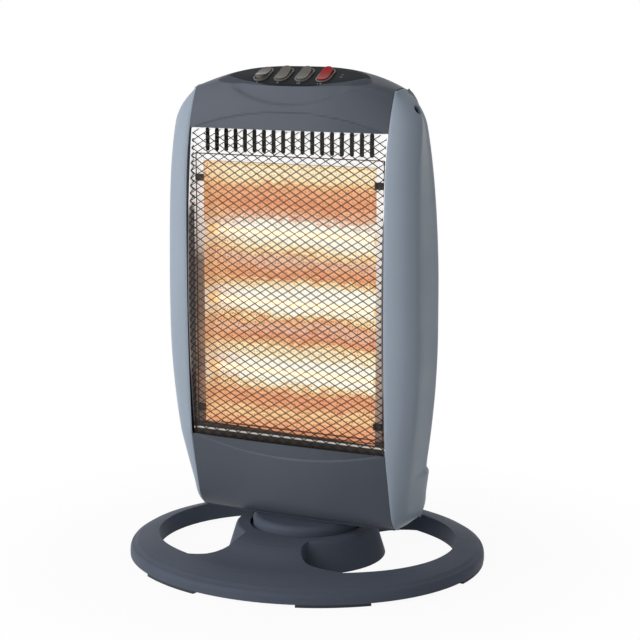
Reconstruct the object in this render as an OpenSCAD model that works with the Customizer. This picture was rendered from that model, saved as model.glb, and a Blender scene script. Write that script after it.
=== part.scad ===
// Oscillating halogen heater: an upright head with three quartz tubes turns on an oval base.
// Millimetres, Z up, front towards -Y, origin on the floor under the middle of the base.

/* [Head] */
// Height from the floor to the crown of the head
total_h = 520; // [516:1:526]
// Widest half width of the head
head_half_w = 144.5; // [140:0.5:148]
// Half width of the dark front strip between the side shells
strip_half_w = 113; // [111:0.5:114]
// How far the front of the head stands before the swivel axis
head_front = 55; // [53:0.5:57]
// How far the back of the head stands behind the swivel axis
head_back = 46; // [44:0.5:48]
// Bow of the hood and the chin across the front
front_bow = 4; // [3:0.5:5]
// Wall of the moulded shells
wall = 2.5; // [2:0.1:3]

/* [Window] */
// Lower edge of the hood
hood_z = 457; // [455:1:459]
// Upper edge of the chin
chin_z = 131; // [129:1:133]
// Half width of the reflector window
window_half_w = 99.6; // [98:0.2:101]
// Lower and upper edge of the reflector window
window_z = [145, 423];
// Height of the lowest tube
tube_z = 203; // [200:1:206]
// Distance from tube to tube
tube_pitch = 73; // [71:0.5:75]
// Number of heat slots over the window
slot_count = 18; // [10:1:20]
// Distance from slot to slot
slot_pitch = 11.05; // [10:0.05:11.1]
// Width of one mesh cell of the guard
cell_w = 21.2; // [18:0.1:26]
// Height of one mesh cell of the guard
cell_h = 12.4; // [10:0.1:16]
// Width of a strand of the guard
strand = 1.6; // [1.2:0.1:2]

/* [Switches] */
// Number of rocker switches
rocker_count = 4; // [4]
// Distance from rocker to rocker
rocker_pitch = 23.7; // [22:0.1:25]
// Middle of the row of rockers across the panel
rocker_mid = -2.9; // [-6:0.1:0]
// Slope of the control panel
panel_slope = 25.5; // [24:0.5:27]

/* [Base] */
// Half length of the base
base_a = 191.4; // [188:0.2:194]
// Half depth of the base
base_b = 175.4; // [172:0.2:178]
// Height of the ring at its inner edge
ring_h = 23.6; // [22:0.2:25]
// Top of the pedestal
pedestal_h = 36; // [34:1:38]
// Turn of the base from the middle of the sweep, as the photographed one stands
base_turn = 5; // [0:1:8]
// Wall of the base moulding
base_wall = 3; // [2.5:0.1:3.5]
// Thickness of the foot pads
pad_h = 3; // [2.5:0.1:4]

/* [Hidden] */
$fn = 96;
eps = 0.01;

shell_colour = [0.50, 0.55, 0.61];
strip_colour = [0.33, 0.36, 0.40];
base_colour = [0.26, 0.28, 0.32];
steel = [0.75, 0.76, 0.77];
mirror_metal = [0.88, 0.88, 0.89];
dark_metal = [0.15, 0.15, 0.16];

// ---------- helpers ----------

function smooth(t) = let (u = min(1, max(0, t))) u * u * (3 - 2 * u);
function unit(v) = v / max(norm(v), 1e-9);

// Outline of a sheet of thickness t to the left of an open path of [x, y] points.
function path_normal(path, i) = let (
  n = len(path) - 1,
  d = unit(path[min(i + 1, n)] - path[max(i - 1, 0)])
) [-d[1], d[0]];
function thick_path(path, t) = concat(
  path,
  [for (i = [len(path) - 1 : -1 : 0]) path[i] + t * path_normal(path, i)]
);

// Normal of a grid of points at row i, column j.
function grid_normal(g, i, j) = let (
  n = len(g) - 1,
  m = len(g[0]) - 1,
  du = g[min(i + 1, n)][j] - g[max(i - 1, 0)][j],
  dv = g[i][min(j + 1, m)] - g[i][max(j - 1, 0)]
) unit(cross(du, dv));

// A skin between an outer grid of points and an inner one of the same size.
module skin(outer, inner) {
  n = len(outer);
  m = len(outer[0]);
  back = n * m;
  function at(i, j) = i * m + j;
  points = concat(
    [for (row = outer) for (p = row) p],
    [for (row = inner) for (p = row) p]
  );
  cells = [
    for (i = [0 : n - 2]) for (j = [0 : m - 2])
      [at(i, j), at(i, j + 1), at(i + 1, j + 1), at(i + 1, j)]
  ];
  rim = concat(
    [for (j = [0 : m - 2]) [at(0, j + 1), at(0, j)]],
    [for (j = [0 : m - 2]) [at(n - 1, j), at(n - 1, j + 1)]],
    [for (i = [0 : n - 2]) [at(i, 0), at(i + 1, 0)]],
    [for (i = [0 : n - 2]) [at(i + 1, m - 1), at(i, m - 1)]]
  );
  faces = concat(
    [for (c = cells) [c[0], c[1], c[2]]],
    [for (c = cells) [c[0], c[2], c[3]]],
    [for (c = cells) [back + c[0], back + c[2], back + c[1]]],
    [for (c = cells) [back + c[0], back + c[3], back + c[2]]],
    [for (e = rim) [e[0], e[1], back + e[1]]],
    [for (e = rim) [e[0], back + e[1], back + e[0]]]
  );
  polyhedron(points, faces);
}

// A slot with round ends, long way along x, middle at the origin.
module slot_2d(length, width) {
  square([length - width, width], center = true);
  for (side = [-1, 1]) translate([side * (length - width) / 2, 0]) circle(d = width);
}

module screw(shaft_r, head_r, length, head_h) {
  translate([0, 0, -length]) cylinder(r = shaft_r, h = length);
  difference() {
    cylinder(r1 = head_r, r2 = 0.75 * head_r, h = head_h);
    for (turn = [0, 90]) rotate(turn)
      translate([-0.6 * head_r, -0.15 * head_r, 0.5 * head_h])
        cube([1.2 * head_r, 0.3 * head_r, head_h]);
  }
}

// ---------- shape of the head ----------

mid_z = 300;
head_low = 46;
floor_t = 2;
floor_z = head_low + wall;
crown_edge_z = 499.2;

// Front of the strip at height z: a long arc that curls back at the top and the bottom.
top_curl = 9;
top_span = hood_z - mid_z;
low_curl = 7;
low_span = mid_z - chin_z;
low_round_h = 20;
function top_curl_y(z) = top_curl * pow(max(0, z - mid_z) / top_span, 4.39);
function low_curl_y(z) = let (t = max(0, mid_z - z) / low_span)
  low_curl * t * t + 23 * max(0, t - 1);
function round_y(z, depth) = let (t = max(0, head_low + low_round_h - z) / low_round_h)
  depth * (1 - sqrt(max(0, 1 - t * t)));
function front_y(z) = -head_front + top_curl_y(z) + low_curl_y(z) + round_y(z, 12);

// Back of the head at height z, with the deeper motor housing at the bottom and a round crown.
housing_z = 99;
housing_depth = 6;
crown_round_z = 478;
function crown_round_y(z) = 20 * pow(max(0, z - crown_round_z) / 21, 2.2);
function back_y(z) = head_back - 1.15 * top_curl_y(z) - crown_round_y(z)
  + housing_depth * smooth((housing_z + 5 - z) / 8) - round_y(z, 14);

// Half width of the head at height z.
corner_z = 458;
corner_r = 44;
side_low_z = 72;
widest_z = 250;
function side_w(z) = z > widest_z
  ? head_half_w - 3.8 * pow((z - widest_z) / 200, 2)
  : head_half_w - 14 * pow((widest_z - z) / 150, 2);
function half_w(z) = z > corner_z
  ? side_w(corner_z) - corner_r + sqrt(max(0, corner_r * corner_r - pow(z - corner_z, 2)))
  : z < side_low_z
    ? strip_half_w + (side_w(side_low_z) - strip_half_w)
      * sqrt(max(0, 1 - pow((side_low_z - z) / (side_low_z - head_low), 2)))
    : side_w(z);

// ---------- base ----------

inner_a = 162.5;
inner_b = 135.5;
skirt_z = pad_h;
skirt_top = 7;
edge_u = 5;
edge_z = 14.5;
crown_u = 40;
pedestal_foot_r = 78;
pedestal_rim_r = 70;
recess_r = 60.5;
deck_z = 30;
bridge_r = 51;
bridge_x = 92;
bridge_y = 64;

// Ovals are made of four arcs. Each arc meets the next on a line that falls 4 in 3, so that
// the centres lie at 3 and 4 times half the difference of the two half axes.
function oval_m(a, b) = (a - b) / 2;
module end_wedge() translate([0, 0, -50]) linear_extrude(150)
  polygon([[0, 0], [240, -320], [240, 320]]);
module side_wedge() translate([0, 0, -50]) linear_extrude(150)
  polygon([[0, 0], [240, 320], [-240, 320]]);

// Sweeps a profile around an oval. The profile's x is the way out from the edge.
module oval_sweep(a, b) {
  m = oval_m(a, b);
  for (side = [0, 180]) rotate(side) {
    translate([3 * m, 0, 0]) intersection() {
      rotate_extrude() translate([a - 3 * m, 0]) children();
      end_wedge();
    }
    translate([0, -4 * m, 0]) intersection() {
      rotate_extrude() translate([b + 4 * m, 0]) children();
      side_wedge();
    }
  }
}

module oval_prism(a, b, h) {
  m = oval_m(a, b);
  for (side = [0, 180]) rotate(side) {
    translate([3 * m, 0, 0]) intersection() {
      cylinder(r = a - 3 * m, h = h);
      end_wedge();
    }
    translate([0, -4 * m, 0]) intersection() {
      cylinder(r = b + 4 * m, h = h);
      side_wedge();
    }
  }
}

// Top of the ring, as a profile with u inwards from the edge of the base.
function ring_profile(inset) = concat(
  [[-inset, skirt_z - (inset > 0 ? 5 : 0)], [-inset, skirt_top]],
  [for (t = [22.5 : 22.5 : 90]) [
    -inset - (edge_u - 1) * (1 - cos(t)),
    skirt_top + (edge_z - inset - skirt_top) * sin(t)
  ]],
  [for (u = [8 : 8 : crown_u]) [
    -u - 0.4 * inset,
    edge_z - inset + (ring_h - edge_z) * sin(90 * u / crown_u)
  ]],
  [[-60, ring_h - inset], [-60, skirt_z - (inset > 0 ? 5 : 0)]]
);

module ring(inset) {
  difference() {
    oval_sweep(base_a, base_b) polygon(ring_profile(inset));
    translate([0, 0, -5]) oval_prism(inner_a + inset, inner_b + inset, 60);
  }
}

// Hill that rises from the ring to the pedestal, before it is cut to the two ramps. It runs
// a little way into the ring, just under its surface.
hill_low = ring_h - 0.3;
function hill_z(r) = hill_low + (pedestal_h - hill_low) * smooth((134 - r) / 62);
module bridges(inset) {
  low = skirt_z - (inset > 0 ? 5 : 0);
  intersection() {
    rotate_extrude() polygon(concat(
      [[pedestal_rim_r - 6, low]],
      [for (r = [pedestal_rim_r - 6 : 8 : 152]) [r, hill_z(r) - inset]],
      [[152, low]]
    ));
    translate([0, 0, -5]) oval_prism(inner_a + 2 - inset, inner_b + 2 - inset, 60);
    difference() {
      union() {
        for (side = [-1, 1]) translate([0, side * (bridge_y + 40), 20])
          cube([2 * (bridge_x - inset), 80, 60], center = true);
        cube([2 * (bridge_x - bridge_r - inset), 2 * bridge_y, 80], center = true);
      }
      for (x = [-1, 1]) for (y = [-1, 1])
        translate([x * bridge_x, y * bridge_y, -20]) cylinder(r = bridge_r + inset, h = 80);
    }
  }
}

pedestal_outer = [
  [pedestal_foot_r, skirt_z], [pedestal_rim_r, pedestal_h - 3],
  [pedestal_rim_r - 0.8, pedestal_h - 1.2], [pedestal_rim_r - 2.6, pedestal_h]
];
module pedestal() {
  rotate_extrude() polygon(concat(
    pedestal_outer,
    [
      [recess_r, pedestal_h], [recess_r, deck_z], [14.1, deck_z], [14.1, deck_z - base_wall],
      [pedestal_rim_r - base_wall, deck_z - base_wall], [pedestal_foot_r - base_wall, skirt_z]
    ]
  ));
}

// Places the six feet along the oval: one on each end, two on each long side.
module foot_sectors() {
  m = oval_m(base_a, base_b);
  for (side = [0, 180]) rotate(side) {
    translate([3 * m, 0, 0]) rotate(-12.5) rotate_extrude(angle = 25)
      translate([base_a - 3 * m, 0]) children();
    for (way = [-26, 26]) translate([0, -4 * m, 0]) rotate(90 + way - 10.5)
      rotate_extrude(angle = 21) translate([base_b + 4 * m, 0]) children();
  }
}

boss_r = 60;
boss_turn = 45;
plate_r = 73;
module base_shell() color(base_colour) rotate(base_turn) {
  difference() {
    union() {
      ring(0);
      bridges(0);
    }
    difference() {
      ring(base_wall);
      foot_sectors() translate([-15, -5]) square([15, skirt_z + 7.5]);
    }
    bridges(base_wall);
    translate([0, 0, -5]) cylinder(r = pedestal_rim_r - base_wall + 1, h = 60);
    translate([0, 0, -5]) cylinder(r = plate_r + 1.5, h = skirt_z + 7.4);
  }
  pedestal();
  intersection() {
    ring(1);
    for (i = [0 : 17]) rotate(10 + 20 * i) translate([0, -1, skirt_z + 3]) cube([200, 2, 40]);
  }
  for (i = [0 : 3]) rotate(boss_turn + 90 * i) translate([boss_r, 0, skirt_z + 2]) difference() {
    cylinder(r = 5, h = deck_z - skirt_z - 4);
    translate([0, 0, -1]) cylinder(r = 1.7, h = 14);
  }
}

module foot_pads() color([0.13, 0.13, 0.14]) rotate(base_turn)
  foot_sectors() translate([-14.5, 0]) square([14, pad_h]);

plunger_x = 0;
plunger_y = 40;
plunger_r = 3;
module base_plate() color(base_colour) rotate(base_turn) difference() {
  translate([0, 0, skirt_z]) cylinder(r = plate_r, h = 2);
  for (i = [0 : 3]) rotate(boss_turn + 90 * i) translate([boss_r, 0, 0]) cylinder(r = 1.8, h = 10);
  translate([plunger_x, plunger_y, 0]) cylinder(r = plunger_r + 0.4, h = 10);
  cylinder(r = 9, h = 10);
}

module base_screws() color(steel) rotate(base_turn)
  for (i = [0 : 3]) rotate(boss_turn + 90 * i) translate([boss_r, 0, skirt_z])
    rotate([180, 0, 0]) screw(1.65, 3.4, 11, 1.8);

// ---------- swivel ----------

post_r = 14;
post_top = 60;
bearing_h = 2.5;
fork_z = 56;
fork_t = 3;
crank_reach = 24;
crank_throw = 14;
pin_r = 2.5;
pin_room = 1.2;

module swivel_post() color(steel) rotate(base_turn) rotate_extrude() polygon([
  [10.5, deck_z - 6], [24, deck_z - 6], [24, deck_z - base_wall], [post_r, deck_z - base_wall],
  [post_r, post_top], [10.5, post_top]
]);

module bearing_ring() color([0.85, 0.85, 0.82]) rotate(base_turn) translate([0, 0, deck_z])
  difference() {
    cylinder(r = 52, h = bearing_h);
    translate([0, 0, -1]) cylinder(r = 40, h = bearing_h + 2);
  }

module retainer_ring() color(steel) translate([0, 0, floor_z + floor_t + 0.4]) difference() {
  cylinder(r = 22, h = 2.4);
  translate([0, 0, -1]) cylinder(r = post_r, h = 5);
}

module swivel_fork() color([0.85, 0.85, 0.82]) rotate(base_turn) translate([0, 0, fork_z]) difference() {
  union() {
    cylinder(r = 19, h = fork_t);
    translate([0, -7.2, 0]) cube([crank_reach + crank_throw + 5, 14.4, fork_t]);
  }
  translate([0, 0, -1]) cylinder(r = post_r, h = fork_t + 2);
  translate([crank_reach - 3, -pin_r - pin_room, -1])
    cube([60, 2 * (pin_r + pin_room), fork_t + 2]);
}

module tip_switch() color([0.1, 0.1, 0.1]) rotate(base_turn) difference() {
  translate([plunger_x - 10, plunger_y - 7, skirt_z + 2]) cube([20, 14, 17]);
  translate([plunger_x, plunger_y, 0]) cylinder(r = plunger_r + 0.05, h = 18);
}

module tip_plunger() color([0.8, 0.2, 0.1]) rotate(base_turn)
  translate([plunger_x, plunger_y, 0.05]) {
    cylinder(r = plunger_r, h = 12);
    cylinder(r1 = 2, r2 = plunger_r, h = 1);
  }

turntable_r = 57;
turntable_top = head_low - 0.3;
module turntable() color(shell_colour) rotate_extrude() polygon(concat(
  [[post_r + 0.05, deck_z + bearing_h + 0.1], [turntable_r, deck_z + bearing_h + 0.1]],
  [for (t = [0 : 15 : 90]) [turntable_r - 6 * (1 - cos(t)), turntable_top - 6 * (1 - sin(t))]],
  [[20.5, turntable_top], [20.5, floor_z], [post_r + 0.05, floor_z]]
));

screw_ring_r = 36;
screw_turns = [35, 145, 205, 335];
module head_floor() color(steel) difference() {
  union() {
    translate([-110, -14.5, floor_z]) cube([220, 51.5, floor_t]);
    translate([-40, -18.5, floor_z]) cube([80, 10, floor_t]);
  }
  translate([0, 0, floor_z - 1]) cylinder(r = post_r + 0.4, h = floor_t + 2);
  for (t = screw_turns) rotate(t) translate([screw_ring_r, 0, floor_z - 1]) cylinder(r = 2.1, h = 5);
}

module turntable_screws() color(steel) for (t = screw_turns) rotate(t)
  translate([screw_ring_r, 0, floor_z + floor_t]) {
    screw(2, 4, floor_z + floor_t - turntable_top, 2.4);
    translate([0, 0, turntable_top - floor_z - floor_t]) cylinder(r = 4, h = floor_z - turntable_top);
  }

module motor_bracket() color(steel) difference() {
  union() {
    translate([-32, -20, 66]) cube([89, 40, 2]);
    for (x = [-32, 55.8]) translate([x, -10, floor_z + floor_t]) cube([1.2, 20, 68 - floor_z - floor_t]);
    translate([-38, -10, floor_z + floor_t]) cube([7, 20, 1.2]);
    translate([55.8, -10, floor_z + floor_t]) cube([7, 20, 1.2]);
  }
  translate([crank_reach, 0, 60]) cylinder(r = 9, h = 10);
}

motor_r = 24.5;
motor_z = 68;
module oscillation_motor() color([0.72, 0.72, 0.70]) translate([crank_reach, 0, motor_z]) {
  difference() {
    union() {
      cylinder(r = motor_r, h = 18);
      translate([-31, -5, 0]) cube([62, 10, 1]);
    }
    for (side = [-1, 1]) translate([28 * side, 0, -1]) cylinder(r = 2, h = 4);
  }
  translate([0, 0, 18]) cylinder(r1 = motor_r - 3, r2 = motor_r - 6, h = 2);
  translate([-8, -motor_r - 6, 4]) cube([16, 10, 9]);
  translate([0, 0, -1.5]) cylinder(r = 7.5, h = 2);
  translate([0, 0, -3.8]) cylinder(r = 2.95, h = 4);
}

// The crank stands turned at rest, so that its pin lies in the fork of the turned base.
crank_ratio = 90 / atan(crank_throw / crank_reach);
module crank() color([0.85, 0.85, 0.82]) translate([crank_reach, 0, 0]) rotate(crank_ratio * base_turn) {
  difference() {
    union() {
      translate([0, 0, 61]) cylinder(r = 7, h = 4.8);
      translate([0, -4, 61]) cube([crank_throw, 8, 3.5]);
      translate([crank_throw, 0, 61]) cylinder(r = 4, h = 3.5);
    }
    translate([0, 0, 64]) cylinder(r = 3, h = 3);
  }
  translate([crank_throw, 0, fork_z - 1]) cylinder(r = pin_r, h = 6);
}

// ---------- metal box, reflector and tubes ----------

plate_y = -41.7;
sheet = 1;
fold_x = 110.5;
lip_x = 112;
plate_low = chin_z - 1;
plate_high = hood_z + 1;
slot_low = 432.5;
slot_w = 5.2;
slot_high = hood_z + 0.2;

// Plate with folds to the back for the box and curved side lips that run forward beside the guard.
module front_plate() color(steel) difference() {
  union() {
    translate([-lip_x, plate_y, plate_low]) cube([2 * lip_x, sheet, plate_high - plate_low]);
    intersection() {
      for (side = [-1, 1]) translate([side * (lip_x - sheet / 2) - sheet / 2, -60, chin_z + 1])
        cube([sheet, 60 + plate_y, hood_z - chin_z - 2]);
      cut_cylinder_x(guard_r, guard_r - guard_front, guard_mid, 130);
    }
    for (side = [-1, 1]) translate([side * (fold_x - sheet / 2), plate_y + 7, (plate_low + plate_high) / 2])
      cube([sheet, 14, plate_high - plate_low], center = true);
  }
  translate([-window_half_w, plate_y - 1, window_z[0]])
    cube([2 * window_half_w, 3, window_z[1] - window_z[0]]);
  for (i = [0 : slot_count - 1])
    translate([(i - (slot_count - 1) / 2) * slot_pitch, plate_y - 1, (slot_low + slot_high) / 2])
      rotate([-90, 90, 0]) linear_extrude(3) slot_2d(slot_high - slot_low, slot_w);
}

chassis_back = 18;
chassis_x = fold_x - 2 * sheet;
chassis_low = 106;
module chassis() color(steel) difference() {
  union() {
    for (side = [-1, 1]) {
      translate([side * (chassis_x + sheet / 2) - sheet / 2, plate_y + 2, chassis_low])
        cube([sheet, chassis_back - plate_y - 2, plate_high - chassis_low - 1]);
      translate([side * (chassis_x + sheet / 2) - sheet / 2, -15, floor_z + floor_t])
        cube([sheet, 40, chassis_low - floor_z - floor_t]);
      translate([side * (chassis_x - 5) - 6, -15, floor_z + floor_t]) cube([12, 40, sheet]);
    }
    translate([-chassis_x - sheet, chassis_back, chassis_low])
      cube([2 * (chassis_x + sheet), sheet, plate_high - chassis_low - 1]);
  }
  for (z = [150 : 30 : 420]) for (x = [-60, 0, 60])
    translate([x, chassis_back + 3, z]) rotate([90, 0, 0]) linear_extrude(6) slot_2d(40, 8);
}

trough_half = tube_pitch / 2;
trough_back = -13;
trough_depth = 11;
function trough_y(z) = let (
  n = max(0, min(2, round((z - tube_z) / tube_pitch))),
  t = (z - tube_z - n * tube_pitch) / trough_half
) trough_back - trough_depth * t * t;
reflector_path = concat(
  [[plate_y + sheet + 0.5, window_z[0] + 1]],
  [for (z = [tube_z - trough_half : trough_half / 5 : tube_z + 2 * tube_pitch + trough_half + 1])
    [trough_y(z), z]],
  [[plate_y + sheet + 0.5, window_z[1] - 1]]
);
module reflector() color(mirror_metal)
  translate([-window_half_w, 0, 0]) rotate([90, 0, 90])
    linear_extrude(2 * window_half_w) polygon(thick_path(reflector_path, -0.8));

shield_y = -7;
module heat_shield() color(steel) translate([-window_half_w, 0, 0]) rotate([90, 0, 90])
  linear_extrude(2 * window_half_w) polygon([
    [plate_y + sheet, 129.5], [shield_y, 129.5], [shield_y, 427], [plate_y + sheet, 427],
    [plate_y + sheet, 426], [shield_y - 1, 426], [shield_y - 1, 130.5], [plate_y + sheet, 130.5]
  ]);

tube_y = -27;
tube_r = 5;
cap_r = 6.4;
function tube_height(n) = tube_z + n * tube_pitch;
module reflector_end(side) color(mirror_metal) difference() {
  translate([side * (window_half_w + sheet / 2) - sheet / 2, plate_y + sheet, 129.5])
    cube([sheet, shield_y - plate_y - sheet, 297.5]);
  for (n = [0 : 2]) translate([side * window_half_w - 3, tube_y, tube_height(n)])
    rotate([0, 90, 0]) cylinder(r = cap_r, h = 6);
}
module reflector_end_left() reflector_end(-1);
module reflector_end_right() reflector_end(1);

module along_tube(n, x) translate([x, tube_y, tube_height(n)]) rotate([0, 90, 0]) children();
glass_half = 96;
module tube(n) color([0.95, 0.93, 0.9]) along_tube(n, -glass_half) difference() {
  cylinder(r = tube_r, h = 2 * glass_half);
  translate([0, 0, 2]) cylinder(r = tube_r - 1, h = 2 * glass_half - 4);
}
module tube_lower() tube(0);
module tube_middle() tube(1);
module tube_upper() tube(2);

// Wound lengths of the filament stand on thin straight leads between the supports.
module filament(n) color([1, 0.75, 0.4]) {
  along_tube(n, 2 - glass_half) cylinder(r = 0.5, h = 2 * glass_half - 4);
  for (i = [-3 : 3]) along_tube(n, 25 * i - 10.5) cylinder(r = 1.5, h = 21);
}
module filament_lower() filament(0);
module filament_middle() filament(1);
module filament_upper() filament(2);

module tube_caps() color([0.93, 0.91, 0.86]) for (n = [0 : 2]) for (side = [0, 180])
  translate([0, tube_y, tube_height(n)]) rotate(side) rotate([0, 90, 0]) difference() {
    union() {
      translate([0, 0, 93]) cylinder(r = cap_r, h = 9);
      translate([-3, -cap_r + 1, 102]) cube([6, 2 * cap_r - 2, 3]);
    }
    translate([0, 0, 92]) cylinder(r = tube_r, h = 4);
  }

module tube_clips() color([0.7, 0.6, 0.35]) for (n = [0 : 2]) for (side = [-1, 1])
  translate([side * 105.4, tube_y, tube_height(n)]) {
    cube([0.8, 16, 9], center = true);
    translate([side * (chassis_x - 105.8) / 2, 8.4, 0]) cube([chassis_x - 105, 0.8, 9], center = true);
    translate([side * (chassis_x - 105.8), 11, 0]) cube([0.8, 6, 9], center = true);
  }

module cut_cylinder_x(r, y, z, half) translate([-half, y, z]) rotate([0, 90, 0])
  cylinder(r = r, h = 2 * half, $fn = 256);

guard_front = head_front - 0.8;
guard_r = 1250;
guard_mid = 292;
guard_t = 1.2;
guard_half_w = 110.5;
guard_low = 128.5;
guard_high = 459;
cells_x = 10;
cells_z = floor((guard_high - guard_low - 6) / cell_h);
module diamond() polygon([
  [-cell_w / 2 + strand, 0], [0, -cell_h / 2 + strand * cell_h / cell_w * 1.4],
  [cell_w / 2 - strand, 0], [0, cell_h / 2 - strand * cell_h / cell_w * 1.4]
]);
module guard() color(dark_metal) {
  difference() {
    intersection() {
      translate([-guard_half_w, -60, guard_low])
        cube([2 * guard_half_w, 30, guard_high - guard_low]);
      cut_cylinder_x(guard_r, guard_r - guard_front, guard_mid, 130);
    }
    cut_cylinder_x(guard_r - guard_t, guard_r - guard_front, guard_mid, 140);
    intersection() {
      translate([-cells_x / 2 * cell_w, -40, (guard_low + guard_high - cells_z * cell_h) / 2])
        rotate([90, 0, 0]) linear_extrude(30) {
          for (i = [0 : cells_x - 1]) for (k = [0 : cells_z - 1])
            translate([(i + 0.5) * cell_w, (k + 0.5) * cell_h]) diamond();
          for (i = [1 : cells_x - 1]) for (k = [1 : cells_z - 1])
            translate([i * cell_w, k * cell_h]) diamond();
        }
    }
  }
  for (side = [-1, 1]) intersection() {
    translate([side * (guard_half_w - 0.5) - 0.5, -60, guard_low])
      cube([1, 60 + plate_y, guard_high - guard_low]);
    cut_cylinder_x(guard_r - guard_t / 2, guard_r - guard_front, guard_mid, 130);
  }
}

clip_z = [160, 405];
module guard_clips() color(dark_metal) for (side = [-1, 1]) for (z = clip_z)
  translate([side * 103, plate_y - 1.3, z]) {
    cube([9, 2.6, 7], center = true);
    translate([-side * 3, -0.6, 0]) cube([3, 2.6, 7], center = true);
  }

// ---------- shells of the head ----------

bow_r = (strip_half_w * strip_half_w + front_bow * front_bow) / (2 * front_bow);
bow_centre = bow_r - head_front - front_bow;
function bow_at(x) = front_bow - (bow_r - sqrt(bow_r * bow_r - x * x));

chin_lip = -14;
chin_path = concat(
  [for (z = [chin_z, 120, 110, 100, 90, 80, 72, 66, 61, 56, 52, 49, 47, head_low]) [front_y(z), z]],
  [[chin_lip, head_low]]
);
module chin() color(strip_colour) difference() {
  intersection() {
    translate([0, bow_centre, 0]) rotate(-95) rotate_extrude(angle = 10, $fn = 360)
      polygon([for (p = thick_path(chin_path, wall)) [bow_centre - p[0] + front_bow, p[1]]]);
    translate([-strip_half_w, -80, 0]) cube([2 * strip_half_w, 120, 200]);
  }
  cylinder(r = 21.5, h = 60);
  for (t = screw_turns) rotate(t) translate([screw_ring_r, 0, 0]) cylinder(r = 4.3, h = 60);
}

// Profile of the hood along its side edges, from the front edge over the crown to the back edge.
rise_z = [457, 464, 471, 478, 485, 490, 495];
hood_profile = concat(
  [for (z = rise_z) [front_y(z), z]],
  [[-27, 498.6], [-20, 500.2], [-12, 500.6], [-3, crown_edge_z]],
  [for (i = [len(rise_z) - 1 : -1 : 0]) [back_y(rise_z[i]), rise_z[i]]]
);
function lift_share(p) = p[0] < -4
  ? 0.67 * smooth((p[1] - 460) / 28) + 0.33 * smooth((p[0] + 30) / 30)
  : smooth((p[1] - hood_z) / 38);
function hood_point(x, p) = [
  x,
  p[0] - bow_at(x) * smooth(-p[0] / 25),
  p[1] + (total_h - crown_edge_z) * (1 - pow(abs(x) / strip_half_w, 2.8)) * lift_share(p)
];
hood_x = [for (i = [-7 : 7]) strip_half_w * sin(90 * i / 7 * 0.9) / sin(81)];
hood_outer = [for (x = hood_x) [for (p = hood_profile) hood_point(x, p)]];
hood_inner = [
  for (i = [0 : len(hood_outer) - 1]) [
    for (j = [0 : len(hood_outer[0]) - 1]) let (q = hood_outer[i][j] - wall * grid_normal(hood_outer, i, j))
      [hood_x[i], q[1], j == 0 || j == len(hood_outer[0]) - 1 ? hood_z : q[2]]
  ]
];

// The crown is cut flat, and the control panel is the slice that closes it again.
panel_y = -39.4;
panel_z = 500.7;
panel_t = 1.6;
module on_panel(x, s) translate([0, panel_y, panel_z]) rotate([panel_slope, 0, 0])
  translate([x, s, 0]) children();

module hood() color(strip_colour) difference() {
  skin(hood_outer, hood_inner);
  on_panel(0, 25) translate([0, 0, 20]) cube([220, 52, 40], center = true);
}

rocker_s = 21;
bezel_l = 28;
bezel_w = 16.4;
bezel_h = 1.4;
barrel_l = 26.4;
barrel_w = 14.4;
barrel_z = -8;
rocker_l = 23;
rocker_w = 12;
rocker_h = 7.5;
pivot_h = -1.5;
pivot_r = 1.5;
function rocker_x(n) = rocker_mid + (n - (rocker_count + 1) / 2) * rocker_pitch;

hood_core = [for (row = hood_outer) [for (p = row) [p[0], 0.1 * p[1], 470]]];
module control_panel() color([0.17, 0.18, 0.2]) difference() {
  intersection() {
    skin(hood_outer, hood_core);
    on_panel(0, 25) translate([0, 0, panel_t / 2]) cube([220, 60, panel_t], center = true);
  }
  for (n = [1 : rocker_count]) on_panel(rocker_x(n), rocker_s) translate([0, 0, -10])
    linear_extrude(20) rotate(90) slot_2d(barrel_l + 0.2, barrel_w + 0.2);
}

module switch_bezel(n) color([0.62, 0.62, 0.6]) on_panel(rocker_x(n), rocker_s) difference() {
  union() {
    translate([0, 0, panel_t]) linear_extrude(bezel_h) rotate(90) slot_2d(bezel_l, bezel_w);
    translate([0, 0, barrel_z]) linear_extrude(panel_t - barrel_z) rotate(90)
      slot_2d(barrel_l, barrel_w);
  }
  translate([0, 0, -10]) linear_extrude(20) rotate(90) slot_2d(rocker_l + 1.8, rocker_w + 0.6);
  translate([-20, 0, pivot_h]) rotate([0, 90, 0]) cylinder(r = pivot_r + 0.05, h = 40);
}
module switch_bezel_1() switch_bezel(1);
module switch_bezel_2() switch_bezel(2);
module switch_bezel_3() switch_bezel(3);
module switch_bezel_4() switch_bezel(4);

// A rocker is a round-ended key whose top is hollowed by a long arc; it tips about its cross pin.
rocker_tilt = 7;
hollow_r = 42;
module rocker(n, shade, tilt) color(shade) on_panel(rocker_x(n), rocker_s)
  translate([0, 0, pivot_h]) rotate([tilt, 0, 0]) {
    difference() {
      translate([0, 0, -3]) linear_extrude(rocker_h + 3) rotate(90) slot_2d(rocker_l, rocker_w);
      translate([-20, 0, rocker_h - 1.5 + hollow_r]) rotate([0, 90, 0])
        cylinder(r = hollow_r, h = 40, $fn = 200);
    }
    translate([-barrel_w / 2 + 0.1, 0, 0]) rotate([0, 90, 0]) cylinder(r = pivot_r, h = barrel_w - 0.2);
  }
rocker_grey = [0.55, 0.54, 0.52];
module switch_rocker_1() rocker(1, rocker_grey, -rocker_tilt);
module switch_rocker_2() rocker(2, rocker_grey, rocker_tilt);
module switch_rocker_3() rocker(3, rocker_grey, rocker_tilt);
module switch_rocker_4() rocker(4, [0.8, 0.1, 0.1], rocker_tilt);

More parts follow.
